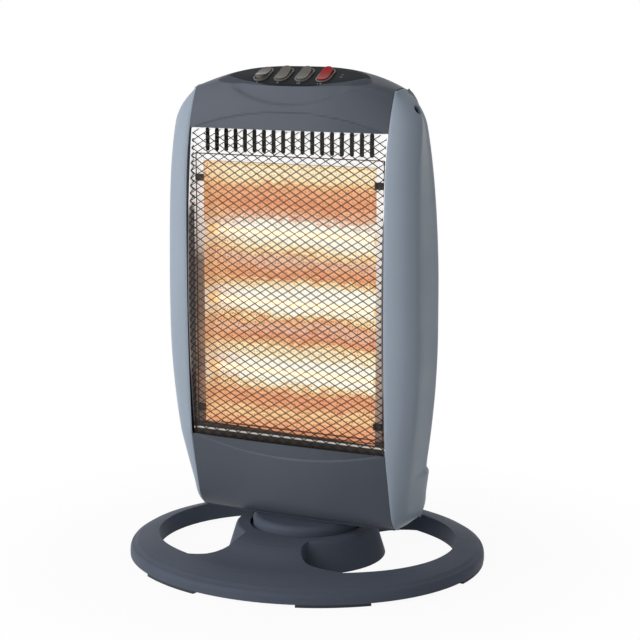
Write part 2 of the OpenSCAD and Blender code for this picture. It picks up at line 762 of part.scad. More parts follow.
module switch_body(n) color([0.12, 0.12, 0.12]) on_panel(rocker_x(n), rocker_s) {
  translate([-6.5, -11, barrel_z - 14]) cube([13, 22, 14]);
  for (s = [-7, 0, 7]) translate([-2.4, s - 0.4, barrel_z - 21]) cube([4.8, 0.8, 8]);
}
module switch_body_1() switch_body(1);
module switch_body_2() switch_body(2);
module switch_body_3() switch_body(3);
module switch_body_4() switch_body(4);

// Plan of a side shell at height z: an elliptical front corner, a side and a rounded back.
// Toward the crown the rounded back takes more and more of the side.
corner_y = 22;
side_end_y = 20;
function side_step(z) = min(1, max(0, half_w(z) - strip_half_w) / 20);
function taper(z) = side_step(z) * (5 - 3 * smooth((housing_z + 5 - z) / 8));
function pull(z) = side_step(z) * 8.5 * pow(max(0, z - mid_z) / 160, 1.8);
function side_section(z) = let (
  w = half_w(z) - strip_half_w,
  yf = front_y(z),
  yb = back_y(z),
  y1 = yf + min(corner_y, 0.55 * (yb - yf)),
  y2 = min(side_end_y - 0.9 * pull(z), yb - min(14, 0.4 * (yb - yf))),
  w2 = max(0.3 * w, w - taper(z) - 0.85 * pull(z))
) concat(
  [for (t = [0 : 18 : 90]) [strip_half_w + w * sin(t), yf + (y1 - yf) * (1 - cos(t)), z]],
  [[strip_half_w + (w + w2) / 2, (y1 + y2) / 2, z]],
  [for (t = [0 : 18 : 90]) [strip_half_w + w2 * cos(t), y2 + (yb - y2) * sin(t), z]]
);
shell_levels = [
  46.3, 47.5, 50, 54, 60, 68, 78, 88, 96, 100, 104, 112, 131, 160, 200, 250, 300, 350, 400, 435,
  458, 466, 474, 481, 487, 492, 495, 497.2
];
// The last levels rise to meet the crown of the hood along the seam.
crown_path = [[-31, 497.2], [-27, 498.6], [-20, 500.2], [-12, 500.6], [-3, crown_edge_z], [2, 497.2]];
function crown_rise(q) = (lookup(q[1], crown_path) - 497.2)
  * smooth(1 - (q[0] - strip_half_w) / 10) * smooth((q[2] - 488) / 9.2);
shell_outer = [for (z = shell_levels) [for (q = side_section(z)) [q[0], q[1], q[2] + crown_rise(q)]]];
shell_inner = [
  for (i = [0 : len(shell_outer) - 1]) [
    for (j = [0 : len(shell_outer[0]) - 1]) let (
      q = shell_outer[i][j] - wall * grid_normal(shell_outer, i, j) * -1
    ) [max(strip_half_w, q[0]), q[1], q[2]]
  ]
];
module side_shell(side) color(shell_colour) difference() {
  if (side > 0) skin(shell_inner, shell_outer);
  else mirror([1, 0, 0]) skin(shell_inner, shell_outer);
  translate([side * 133, -20, 480]) rotate([0, side * 55, 0]) cylinder(r = 3, h = 20, center = true);
}
module side_shell_left() side_shell(-1);
module side_shell_right() side_shell(1);

rear_lip = 26;
rear_path = concat(
  [for (z = [hood_z, 440, 420, 400, 370, 340, 300, 104, 100, 96, 88, 78, 68, 61, 56, 52, 49, 47, head_low])
    [back_y(z), z]],
  [[rear_lip, head_low]]
);
gland_x = 60;
gland_z = 80;
module rear_cover() color(shell_colour) difference() {
  translate([-strip_half_w, 0, 0]) rotate([90, 0, 90])
    linear_extrude(2 * strip_half_w) polygon(thick_path(rear_path, -wall));
  for (side = [-1, 1]) for (z = [150 : 10 : 430])
    translate([side * 50, head_back + 5, z]) rotate([90, 0, 0]) linear_extrude(20) slot_2d(78, 4);
  translate([gland_x, 60, gland_z]) rotate([90, 0, 0]) cylinder(r = 7, h = 20);
  for (side = [-1, 1]) for (z = rear_screw_z)
    translate([side * rear_screw_x, 60, z]) rotate([90, 0, 0]) cylinder(r = 2, h = 30);
}

rear_screw_x = 100;
rear_screw_z = [120, 290];
module rear_screws() color(steel) for (side = [-1, 1]) for (z = rear_screw_z)
  translate([side * rear_screw_x, back_y(z), z]) rotate([-90, 0, 0])
    screw(1.9, 3.6, back_y(z) - chassis_back - sheet, 2);

module cord_gland() color([0.08, 0.08, 0.08]) translate([gland_x, back_y(gland_z), gland_z])
  rotate([-90, 0, 0]) difference() {
    union() {
      cylinder(r1 = 10, r2 = 8.5, h = 3);
      translate([0, 0, -wall - 2]) cylinder(r = 7, h = wall + 3);
      translate([0, 0, -wall - 4]) cylinder(r = 9, h = 4 - eps * 10);
    }
    translate([0, 0, -10]) cylinder(r = 4, h = 20);
  }

module thermal_cutout() color([0.2, 0.2, 0.2]) translate([40, shield_y, 320]) rotate([-90, 0, 0]) {
  cylinder(r = 8, h = 4);
  translate([-14, -4, 0]) cube([28, 8, 1]);
  for (side = [-1, 1]) translate([5 * side - 2, -0.4, 3]) cube([4, 0.8, 9]);
}

module terminal_block() color([0.9, 0.9, 0.88]) translate([-75, 5, floor_z + floor_t]) difference() {
  cube([36, 16, 14]);
  for (i = [0 : 3]) translate([4.5 + 9 * i, -1, 7]) rotate([-90, 0, 0]) cylinder(r = 2.2, h = 18);
  for (i = [0 : 3]) for (y = [4, 12]) translate([4.5 + 9 * i, y, 8]) cylinder(r = 1.8, h = 8);
}

// ---------- one node at a time, or all ----------

base_shell();
foot_pads();
base_plate();
base_screws();
swivel_post();
bearing_ring();
retainer_ring();
swivel_fork();
tip_switch();
tip_plunger();
turntable();
head_floor();
turntable_screws();
chassis();
front_plate();
reflector();
reflector_end_left();
reflector_end_right();
heat_shield();
tube_lower();
tube_middle();
tube_upper();
filament_lower();
filament_middle();
filament_upper();
tube_caps();
tube_clips();
guard();
guard_clips();
hood();
control_panel();
switch_bezel_1();
switch_bezel_2();
switch_bezel_3();
switch_bezel_4();
switch_rocker_1();
switch_rocker_2();
switch_rocker_3();
switch_rocker_4();
switch_body_1();
switch_body_2();
switch_body_3();
switch_body_4();
chin();
side_shell_left();
side_shell_right();
rear_cover();
rear_screws();
motor_bracket();
oscillation_motor();
crank();
thermal_cutout();
terminal_block();
cord_gland();
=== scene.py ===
import math

import bmesh
import bpy
import numpy as np
from mathutils import Matrix, Vector


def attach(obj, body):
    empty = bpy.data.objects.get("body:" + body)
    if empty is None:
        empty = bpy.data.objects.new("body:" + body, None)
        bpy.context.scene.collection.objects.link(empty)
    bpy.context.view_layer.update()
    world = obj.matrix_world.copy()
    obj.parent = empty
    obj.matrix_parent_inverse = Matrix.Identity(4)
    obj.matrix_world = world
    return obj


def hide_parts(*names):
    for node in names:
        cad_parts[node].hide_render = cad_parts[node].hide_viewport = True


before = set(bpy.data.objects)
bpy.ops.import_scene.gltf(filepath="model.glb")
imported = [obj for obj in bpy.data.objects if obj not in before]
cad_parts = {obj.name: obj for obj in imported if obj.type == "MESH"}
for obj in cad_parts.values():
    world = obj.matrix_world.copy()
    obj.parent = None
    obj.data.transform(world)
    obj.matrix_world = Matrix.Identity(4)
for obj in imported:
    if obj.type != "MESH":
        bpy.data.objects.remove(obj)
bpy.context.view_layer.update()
MM = 0.001


# ---------- shape of the head, as the CAD source has it (millimetres) ----------

HEAD_FRONT, HEAD_BACK, HEAD_LOW = 55.0, 46.0, 46.0   # front before its bow, back, underside
STRIP, HEAD_HALF = 113.0, 144.5      # half width of the dark middle strip and of the whole head
HOOD_Z, CHIN_Z, MID_Z = 457.0, 131.0, 300.0          # edges of hood and chin, and between them
TOTAL, CROWN = 520.0, 499.2          # height of the top at its middle and at the strip's sides
BOW, WALL = 4.0, 2.5                 # how far the front bows out, and the shells' thickness
BOW_R = (STRIP * STRIP + BOW * BOW) / (2 * BOW)
TOP_CURL, TOP_POWER = 9, 4.39        # the front leans back towards the hood
LOW_CURL, CHIN_CURL = 7, 23          # and towards the foot, more so below the chin's top edge
FOOT_ROUND, FRONT_ROUND, BACK_ROUND = 20, 12, 14     # rounding of the foot: height and depths
CORNER_Z, CORNER_R = 458.0, 44.0     # centre height and radius of the shoulders
SIDE_LOW, WIDEST = 72.0, 250.0       # the sides draw in below the first, and are fullest at the second
SWELL_Z = 104                        # below this height the back stands out further
PANEL_Y, PANEL_Z, PANEL_SLOPE, PANEL_T = -39.4, 500.7, math.radians(25.5), 1.6
ROCKER_S, ROCKER_PITCH, ROCKER_MID = 21.0, 23.7, -2.9   # up the panel's slope, apart, middle of the row
GUARD_R, GUARD_MID, GUARD_FRONT = 1250.0, 292.0, 54.2   # the guard's face is an arc in side view
PLATE_Y = -41.7                      # face of the bright plate


def smooth(t):
    u = min(1.0, max(0.0, t))
    return u * u * (3 - 2 * u)


def top_curl(z):
    return TOP_CURL * (max(0, z - MID_Z) / (HOOD_Z - MID_Z)) ** TOP_POWER


def low_curl(z):
    t = max(0, MID_Z - z) / (MID_Z - CHIN_Z)
    return LOW_CURL * t * t + CHIN_CURL * max(0, t - 1)


def round_y(z, depth):
    t = min(1, max(0, HEAD_LOW + FOOT_ROUND - z) / FOOT_ROUND)
    return depth * (1 - math.sqrt(max(0, 1 - t * t)))


def front_y(z):
    return -HEAD_FRONT + top_curl(z) + low_curl(z) + round_y(z, FRONT_ROUND)


def back_y(z):
    crown = 20 * (max(0, z - 478) / 21) ** 2.2
    swell = 6 * smooth((SWELL_Z - z) / 8)
    return HEAD_BACK - 1.15 * top_curl(z) - crown + swell - round_y(z, BACK_ROUND)


def side_w(z):
    if z > WIDEST:
        return HEAD_HALF - 3.8 * ((z - WIDEST) / 200) ** 2
    return HEAD_HALF - 14 * ((WIDEST - z) / 150) ** 2


def half_w(z):
    if z > CORNER_Z:
        return side_w(CORNER_Z) - CORNER_R + math.sqrt(max(0, CORNER_R ** 2 - (z - CORNER_Z) ** 2))
    if z < SIDE_LOW:
        k = (SIDE_LOW - z) / (SIDE_LOW - HEAD_LOW)
        return STRIP + (side_w(SIDE_LOW) - STRIP) * math.sqrt(max(0, 1 - k * k))
    return side_w(z)


def bow_at(x):
    return BOW - (BOW_R - math.sqrt(BOW_R ** 2 - x * x))


# ---------- mesh helpers ----------

def mesh_object(name, verts, faces, scale=MM):
    mesh = bpy.data.meshes.new(name)
    mesh.from_pydata([tuple(c * scale for c in v) for v in verts], [], faces)
    mesh.validate()
    obj = bpy.data.objects.new(name, mesh)
    bpy.context.collection.objects.link(obj)
    return obj


def soften(obj, angle):
    obj.data.shade_smooth()
    obj.data.set_sharp_from_angle(angle=math.radians(angle))


def outward(obj):
    bm = bmesh.new()
    bm.from_mesh(obj.data)
    bmesh.ops.remove_doubles(bm, verts=bm.verts, dist=1e-6)
    bmesh.ops.recalc_face_normals(bm, faces=bm.faces)
    bm.to_mesh(obj.data)
    bm.free()


def grid_faces(n, m):
    return [(i * m + j, i * m + j + 1, (i + 1) * m + j + 1, (i + 1) * m + j)
            for i in range(n - 1) for j in range(m - 1)]


def closed_faces(n, m):
    """Faces of a body between two grids of n by m points, the second listed after the first."""
    back = n * m
    faces = grid_faces(n, m)
    faces += [tuple(back + k for k in reversed(f)) for f in grid_faces(n, m)]
    for j in range(m - 1):
        faces.append((j + 1, j, back + j, back + j + 1))
        a = (n - 1) * m + j
        faces.append((a, a + 1, back + a + 1, back + a))
    for i in range(n - 1):
        a = i * m
        faces.append((a, a + m, back + a + m, back + a))
        b = i * m + m - 1
        faces.append((b + m, b, back + b, back + b + m))
    return faces


def shell_from_grid(name, grid, thickness, clip):
    """A closed skin between a grid of points (mm) and the same grid moved along its normals.

    The clip function may move the points of the second grid before the skin is made.
    """
    g = np.array(grid, float)
    du = np.gradient(g, axis=0)
    dv = np.gradient(g, axis=1)
    nrm = np.cross(du, dv)
    nrm /= np.maximum(np.linalg.norm(nrm, axis=2, keepdims=True), 1e-9)
    inner = clip(g, g + nrm * thickness)
    verts = list(map(tuple, g.reshape(-1, 3))) + list(map(tuple, inner.reshape(-1, 3)))
    obj = mesh_object(name, verts, closed_faces(*g.shape[:2]))
    outward(obj)
    return obj


def box_object(name, low, high):
    (x0, y0, z0), (x1, y1, z1) = low, high
    v = [(x, y, z) for x in (x0, x1) for y in (y0, y1) for z in (z0, z1)]
    f = [(0, 1, 3, 2), (4, 6, 7, 5), (0, 4, 5, 1), (2, 3, 7, 6), (0, 2, 6, 4), (1, 5, 7, 3)]
    return mesh_object(name, v, f)


def prism_object(name, outline, z0, z1):
    n = len(outline)
    v = [(x, y, z0) for x, y in outline] + [(x, y, z1) for x, y in outline]
    f = [tuple(range(n - 1, -1, -1)), tuple(range(n, 2 * n))]
    f += [(i, (i + 1) % n, n + (i + 1) % n, n + i) for i in range(n)]
    return mesh_object(name, v, f)


def slot_outline(length, width):
    """A round-ended outline whose long way lies along y."""
    r = width / 2
    c = (length - width) / 2
    turns = np.linspace(0, math.pi, 24)
    up = [(r * math.cos(a), c + r * math.sin(a)) for a in turns]
    down = [(-r * math.cos(a), -c - r * math.sin(a)) for a in turns]
    return up + down


def oval(a, b, steps=40, mid=(0, 0)):
    return [(mid[0] + a * math.cos(t), mid[1] + b * math.sin(t))
            for t in np.linspace(0, 2 * math.pi, steps, endpoint=False)]


def boolean(obj, tool, operation="DIFFERENCE"):
    """Cuts the tool out of the object, or keeps what they share, and removes the tool."""
    mod = obj.modifiers.new("cut", "BOOLEAN")
    mod.operation = operation
    mod.solver = "EXACT"
    mod.object = tool
    deps = bpy.context.evaluated_depsgraph_get()
    new = bpy.data.meshes.new_from_object(obj.evaluated_get(deps))
    obj.modifiers.clear()
    obj.data = new
    bpy.data.objects.remove(tool)


def bevel(obj, width, segments, angle=35):
    mod = obj.modifiers.new("edge", "BEVEL")
    mod.width = width * MM
    mod.segments = segments
    mod.limit_method = "ANGLE"
    mod.angle_limit = math.radians(angle)
    mod.harden_normals = False


def node_copy(node, name, merge=True):
    """A free copy of a CAD node's solid; merge joins its split corners and its level faces."""
    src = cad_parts[node]
    mesh = src.data.copy()
    mesh.transform(src.matrix_world)
    mesh.materials.clear()
    obj = bpy.data.objects.new(name, mesh)
    bpy.context.collection.objects.link(obj)
    if not merge:
        return obj
    bm = bmesh.new()
    bm.from_mesh(mesh)
    bmesh.ops.remove_doubles(bm, verts=bm.verts, dist=2e-6)
    bmesh.ops.dissolve_limit(bm, angle_limit=math.radians(0.4), verts=bm.verts, edges=bm.edges)
    bmesh.ops.recalc_face_normals(bm, faces=bm.faces)
    bm.to_mesh(mesh)
    bm.free()
    return obj


def joined(name, objs):
    """One object out of several, by their meshes."""
    bm = bmesh.new()
    for o in objs:
        m = o.data.copy()
        m.transform(o.matrix_basis)
        bm.from_mesh(m)
        bpy.data.meshes.remove(m)
    mesh = bpy.data.meshes.new(name)
    bm.to_mesh(mesh)
    bm.free()
    for o in objs:
        bpy.data.objects.remove(o)
    obj = bpy.data.objects.new(name, mesh)
    bpy.context.collection.objects.link(obj)
    return obj


# ---------- materials ----------

def lin(*rgb):
    out = []
    for c in rgb:
        c /= 255
        out.append(c / 12.92 if c <= 0.04045 else ((c + 0.055) / 1.055) ** 2.4)
    return tuple(out) + (1.0,)


class Look:
    """A procedural material under construction."""

    def __init__(self, name, rough=0.5, metal=0.0, spec=0.5):
        self.mat = bpy.data.materials.new(name)
        self.mat.use_nodes = True
        self.tree = self.mat.node_tree
        self.shader = self.tree.nodes["Principled BSDF"]
        self.out("Roughness", rough)
        self.out("Metallic", metal)
        self.out("Specular IOR Level", spec)
        self.coord = self.tree.nodes.new("ShaderNodeTexCoord").outputs["Object"]

    def link(self, a, b):
        self.tree.links.new(a, b)

    def feed(self, socket, value):
        """Gives a socket its value: another socket's output, or a fixed one."""
        if hasattr(value, "is_linked"):
            self.link(value, socket)
        else:
            socket.default_value = value

    def node(self, kind, **values):
        n = self.tree.nodes.new(kind)
        for key, value in values.items():
            label = key.replace("_", " ")
            if label in n.inputs:
                self.feed(n.inputs[label], value)
            else:
                setattr(n, key, value)
        return n

    def noise(self, scale, detail, stretch=(1, 1, 1)):
        m = self.node("ShaderNodeMapping", Vector=self.coord, Scale=stretch)
        n = self.node("ShaderNodeTexNoise", Scale=scale, Detail=detail, Roughness=0.55)
        self.link(m.outputs["Vector"], n.inputs["Vector"])
        return n.outputs["Fac"]

    def ramp(self, fac, stops):
        r = self.tree.nodes.new("ShaderNodeValToRGB")
        els = r.color_ramp.elements
        els[0].position, els[0].color = stops[0]
        els[1].position, els[1].color = stops[-1]
        for pos, col in stops[1:-1]:
            e = els.new(pos)
            e.color = col
        self.link(fac, r.inputs["Fac"])
        return r.outputs["Color"]

    def level_ramp(self, fac, low, span, stops):
        """A ramp with its stops at heights in mm, for a factor that is 0 at low and 1 span above."""
        return self.ramp(fac, [((height - low) / span, col) for height, col in stops])

    def math(self, op, a, b=0.0, clamp=False):
        n = self.node("ShaderNodeMath", operation=op, use_clamp=clamp)
        self.feed(n.inputs[0], a)
        self.feed(n.inputs[1], b)
        return n.outputs[0]

    def beyond(self, value, limit, slope):
        """How far a value is past a limit, times the slope, kept between 0 and 1."""
        return self.math("MULTIPLY", self.math("SUBTRACT", value, limit), slope, True)

    def wobble(self, fac, width):
        """A noise made to vary about zero, over this width."""
        return self.math("MULTIPLY", self.math("SUBTRACT", fac, 0.5), width)

    def mix(self, fac, a, b):
        n = self.node("ShaderNodeMix", data_type="RGBA")
        for key, value in ((0, fac), (6, a), (7, b)):
            self.feed(n.inputs[key], value)
        return n.outputs[2]

    def spread(self, fac, low, high):
        """Brings the middle half of a noise to the range from low to high."""
        n = self.node("ShaderNodeMapRange", From_Min=0.25, From_Max=0.75, To_Min=low, To_Max=high)
        self.link(fac, n.inputs["Value"])
        return n.outputs["Result"]

    def bump(self, height, distance):
        b = self.node("ShaderNodeBump", Strength=1.0, Distance=distance, Height=height)
        return b.outputs["Normal"]

    def out(self, key, value):
        """Gives the surface shader an input."""
        self.feed(self.shader.inputs[key], value)


def tone(col, k):
    return tuple(min(1.0, c * k) for c in col[:3]) + (1.0,)


def plastic(name, col, rough, grain=0.0005, depth=0.00002, mottle=0.05, spec=0.2):
    """Moulded plastic: fine spark texture, slight tone drift and handling marks in the gloss."""
    k = Look(name, rough, 0.0, spec)
    drift = k.noise(9, 2)
    fine = k.noise(1 / grain, 2)
    base = k.mix(k.spread(drift, 0, 1), tone(col, 1 - mottle), tone(col, 1 + mottle))
    speck = k.mix(k.spread(fine, 0, 0.12), base, tone(col, 1.35))
    k.out("Base Color", speck)
    k.out("Roughness", k.spread(k.noise(22, 4), rough - 0.05, rough + 0.07))
    k.out("Normal", k.bump(fine, depth))
    return k.mat


def metal(name, col, rough, stretch, scale, depth=0.000015, metallic=1.0):
    """Sheet or turned metal: fine streaks in the gloss and a slight tone drift."""
    k = Look(name, rough, metallic)
    streak = k.noise(scale, 3, stretch)
    cloud = k.noise(14, 3)
    k.out("Base Color", k.mix(k.spread(cloud, 0, 1), tone(col, 0.9), tone(col, 1.06)))
    k.out("Roughness", k.spread(streak, rough * 0.8, rough * 1.25))
    k.out("Normal", k.bump(streak, depth))
    return k.mat


side_mat = plastic("side_shell_plastic", lin(158, 170, 184), 0.46, 0.0006, 0.000012, 0.03)


def strip_look(name, left, right):
    """Dark moulded plastic of the middle strip, with painted shade towards its sides by these shares.
    """
    k = Look(name, 0.42, 0.0, 0.2)
    col = lin(91, 97, 108)
    sep = k.node("ShaderNodeSeparateXYZ", Vector=k.coord)
    fine = k.noise(2000, 2)
    base = k.mix(k.spread(k.noise(9, 2), 0, 1), tone(col, 0.96), tone(col, 1.04))
    # Painted shade: the strip darkens towards each side by its share, where the moulding turns from the
    # light.
    for way, share in ((-1, left), (1, right)):
        side_shade = k.beyond(k.math("MULTIPLY", sep.outputs["X"], way), 0.02, 11.0)
        base = k.mix(k.math("MULTIPLY", side_shade, share), base, lin(40, 42, 46))
    k.out("Base Color", k.mix(k.spread(fine, 0, 0.12), base, tone(col, 1.35)))
    k.out("Roughness", k.spread(k.noise(22, 4), 0.37, 0.49))
    k.out("Normal", k.bump(fine, 0.000012))
    return k.mat


# The hood has painted shade on its right side only, the chin on both sides.
hood_mat = strip_look("hood_plastic", 0.0, 0.42)
chin_mat = strip_look("chin_plastic", 0.3, 0.36)
base_mat = plastic("base_plastic", lin(84, 91, 105), 0.55, 0.0007, 0.00002, 0.05, 0.1)
pad_mat = plastic("pad_plastic", lin(56, 61, 70), 0.6, 0.0006, 0.00002, 0.05)
black_mat = plastic("black_plastic", lin(28, 28, 30), 0.45, 0.0006, 0.00002, 0.08)
bezel_mat = plastic("bezel_plastic", lin(112, 109, 104), 0.3, 0.0004, 0.000008, 0.04)
rocker_mat = plastic("rocker_plastic", lin(104, 100, 94), 0.24, 0.0004, 0.000006, 0.05)
red_mat = plastic("red_plastic", lin(156, 16, 22), 0.22, 0.0004, 0.000006, 0.06)
plunger_mat = plastic("plunger_plastic", lin(180, 50, 40), 0.4)
acetal_mat = plastic("natural_plastic", lin(214, 210, 198), 0.4, 0.0005, 0.00001, 0.03)
steel_mat = metal("zinc_steel", lin(196, 198, 201), 0.38, (1, 1, 6), 500)
post_mat = metal("turned_steel", lin(190, 190, 190), 0.28, (1, 1, 30), 300)


def guard_look():
    """Black enamelled wire, with a warm brown glow painted on where it lies in front of the window."""
    k = Look("guard_enamel", 0.5, 0.0, 0.25)
    sep = k.node("ShaderNodeSeparateXYZ", Vector=k.coord)
    grit = k.noise(1600, 3)
    k.out("Base Color", k.mix(grit, lin(22, 21, 21), lin(34, 32, 31)))
    window_half, window_low, window_high = 0.101, 0.146, 0.424
    between = k.beyond(window_half, k.math("ABSOLUTE", sep.outputs["X"]), 300.0)
    below_top = k.beyond(window_high, sep.outputs["Z"], 200.0)
    above_foot = k.beyond(sep.outputs["Z"], window_low, 200.0)
    inside = k.math("MULTIPLY", k.math("MULTIPLY", between, below_top), above_foot)
    # Painted glow: inside the window's outline the wire gives out warm brown light.
    k.out("Emission Color", k.mix(inside, lin(0, 0, 0), lin(76, 42, 26)))
    k.out("Emission Strength", 0.8)
    k.out("Normal", k.bump(grit, 0.00001))
    return k.mat


guard_mat = guard_look()
clip_mat = metal("clip_steel", lin(52, 44, 40), 0.4, (1, 1, 1), 1200, 0.00001, 0.5)
case_mat = metal("motor_case", lin(178, 178, 174), 0.33, (1, 1, 12), 500)
# Near-black plastic as painted shade inside the side shells' recesses.
recess_shade_mat = plastic("recess_shade_plastic", lin(34, 36, 40), 0.55)
line_mat = metal("window_edge", lin(96, 66, 48), 0.45, (1, 1, 1), 900, 0.00001, 0.4)
box_mat = metal("dark_box_steel", lin(88, 80, 66), 0.5, (1, 1, 6), 500, 0.000015, 0.3)
screw_mat = metal("blackened_screw", lin(74, 76, 80), 0.45, (1, 1, 1), 900, 0.00001, 0.7)


def panel_look():
    """Dark lens of the control panel; in front of its arc the panel has the tone of the hood."""
    k = Look("panel_lens", 0.5, 0.0, 0.06)
    sep = k.node("ShaderNodeSeparateXYZ", Vector=k.coord)
    half_length, tip_setback = 0.0795, 0.0165
    x = k.math("DIVIDE", sep.outputs["X"], half_length)
    arc = k.math("MULTIPLY", k.math("POWER", k.math("ABSOLUTE", x), 2.3), tip_setback)
    inside = k.math("SUBTRACT", k.math("ADD", sep.outputs["Y"], -PANEL_Y * MM), arc)
    edge = k.math("MULTIPLY", k.math("ADD", inside, 0.0004), 1400.0, True)
    fine = k.noise(2000, 2)
    dark = k.mix(k.spread(k.noise(9, 2), 0, 1), lin(30, 33, 37), lin(35, 39, 43))
    k.out("Base Color", k.mix(edge, lin(78, 84, 94), dark))
    k.out("Roughness", k.spread(k.noise(22, 4), 0.5, 0.6))
    k.out("Normal", k.bump(fine, 0.000012))
    return k.mat


panel_mat = panel_look()


def ceramic():
    k = Look("bare_ceramic", 0.7)
    pit = k.noise(700, 4)
    k.out("Base Color", k.mix(k.spread(pit, 0, 1), lin(214, 206, 190), lin(238, 232, 220)))
    k.out("Normal", k.bump(pit, 0.00004))
    return k.mat


def front_plate_look():
    """Bright rolled plate, white above the window, with a painted reflection that darkens and browns it
    towards its foot, painted shade on its side lips and foot, and painted glow.
    """
    k = Look("bright_plate", 0.35, 0.0, 0.3)
    sep = k.node("ShaderNodeSeparateXYZ", Vector=k.coord)
    roll = k.noise(260, 3, (1, 1, 14))
    mottle = k.noise(60, 3, (1, 1, 0.5))
    height = k.math("ADD", sep.outputs["Z"], k.wobble(mottle, 0.03))
    low, span = 130, 330
    t = k.math("DIVIDE", k.math("SUBTRACT", height, low * MM), span * MM, True)
    # Painted reflection: the plate darkens and browns towards its foot, as darker surroundings mirrored
    # in it.
    painted_reflection = k.level_ramp(t, low, span, [
        (131, lin(58, 46, 38)), (146, lin(116, 96, 84)), (200, lin(172, 148, 132)),
        (240, lin(188, 170, 156)), (300, lin(224, 212, 202)), (360, lin(246, 240, 234)),
        (415, lin(250, 248, 246)), (440, lin(255, 255, 255)),
    ])
    # Left of the window the painted reflection runs in warm bands.
    left_painted_reflection = k.level_ramp(t, low, span, [
        (131, lin(58, 46, 38)), (155, lin(104, 86, 76)), (190, lin(152, 118, 98)),
        (206, lin(122, 98, 86)), (236, lin(162, 130, 108)), (256, lin(132, 110, 96)),
        (318, lin(138, 118, 106)), (334, lin(206, 190, 178)), (360, lin(240, 230, 222)),
        (440, lin(255, 255, 255)),
    ])
    left_x, lip_x, foot_z, fold_z = -0.095, 0.1108, 0.1445, 0.1372
    is_left = k.math("LESS_THAN", sep.outputs["X"], left_x)
    painted_reflection = k.mix(is_left, painted_reflection, left_painted_reflection)
    # The side lips carry painted shade below their top.
    lip = k.math("GREATER_THAN", k.math("ABSOLUTE", sep.outputs["X"]), lip_x)
    lip_painted_shade = k.level_ramp(t, low, span, [
        (131, lin(58, 56, 60)), (190, lin(66, 62, 64)), (205, lin(116, 110, 104)),
        (218, lin(116, 110, 104)), (226, lin(96, 92, 92)), (366, lin(98, 96, 98)),
        (380, lin(236, 234, 232)), (440, lin(255, 255, 255)),
    ])
    # Below the window the plate has painted shade, with one painted highlight along its fold.
    foot = k.math("LESS_THAN", sep.outputs["Z"], foot_z)
    off_fold = k.math("ABSOLUTE", k.math("SUBTRACT", sep.outputs["Z"], fold_z))
    fold_highlight = k.math("LESS_THAN", off_fold, 0.0009)
    foot_painted_light = k.mix(fold_highlight, lin(44, 38, 34), lin(196, 188, 180))
    # Painted glow also lies on the foot of the plate, more of it towards the right.
    rise = k.math("MULTIPLY", k.math("ADD", sep.outputs["X"], 0.1), 0.024)
    high_enough = k.math("GREATER_THAN", k.math("ADD", sep.outputs["Z"], rise), 0.1446)
    below_window = k.math("LESS_THAN", k.math("ABSOLUTE", sep.outputs["X"]), 0.0992)
    painted_glow_foot = k.math("MULTIPLY", high_enough, below_window)
    foot_painted_light = k.mix(painted_glow_foot, foot_painted_light, lin(226, 146, 100))
    col = k.mix(foot, k.mix(lip, painted_reflection, lip_painted_shade), foot_painted_light)
    k.out("Base Color", k.mix(k.spread(roll, 0, 0.06), col, lin(120, 118, 116)))
    k.out("Roughness", k.spread(roll, 0.28, 0.44))
    k.out("Normal", k.bump(roll, 0.00001))
    # The plate also gives out its painted colour as glow.
    k.out("Emission Color", col)
    k.out("Emission Strength", 0.45)
    return k.mat


def warm_metal(name, bright, strength):
    """Metal next to the tubes, with their light painted on as glow in their own colour."""
    k = Look(name, 0.5, 0.2, 0.3)
    cloud = k.noise(90, 3)
    col = k.mix(k.spread(cloud, 0, 1), tone(bright, 0.72), bright)
    k.out("Base Color", k.mix(0.6, col, lin(60, 40, 30)))
    # Painted glow: the metal gives out light in the tubes' colour.
    k.out("Emission Color", col)
    k.out("Emission Strength", strength)
    k.out("Normal", k.bump(cloud, 0.00002))
    return k.mat


def quartz():
    k = Look("lit_quartz", 0.08)
    haze = k.noise(120, 3, (0.2, 1, 1))
    k.out("Base Color", k.mix(haze, lin(255, 236, 200), lin(255, 250, 235)))
    k.out("Emission Color", k.mix(haze, lin(250, 226, 176), lin(255, 244, 214)))
    k.out("Emission Strength", 0.7)
    k.out("Alpha", 0.1)
    return k.mat


def hot_wire():
    k = Look("hot_wire", 0.5)
    wind = k.noise(1500, 1, (1, 0.05, 0.05))
    k.out("Base Color", k.mix(wind, lin(255, 190, 90), lin(255, 230, 160)))
    k.out("Emission Color", k.mix(wind, lin(255, 238, 200), lin(255, 248, 226)))
    k.out("Emission Strength", 0.95)
    return k.mat


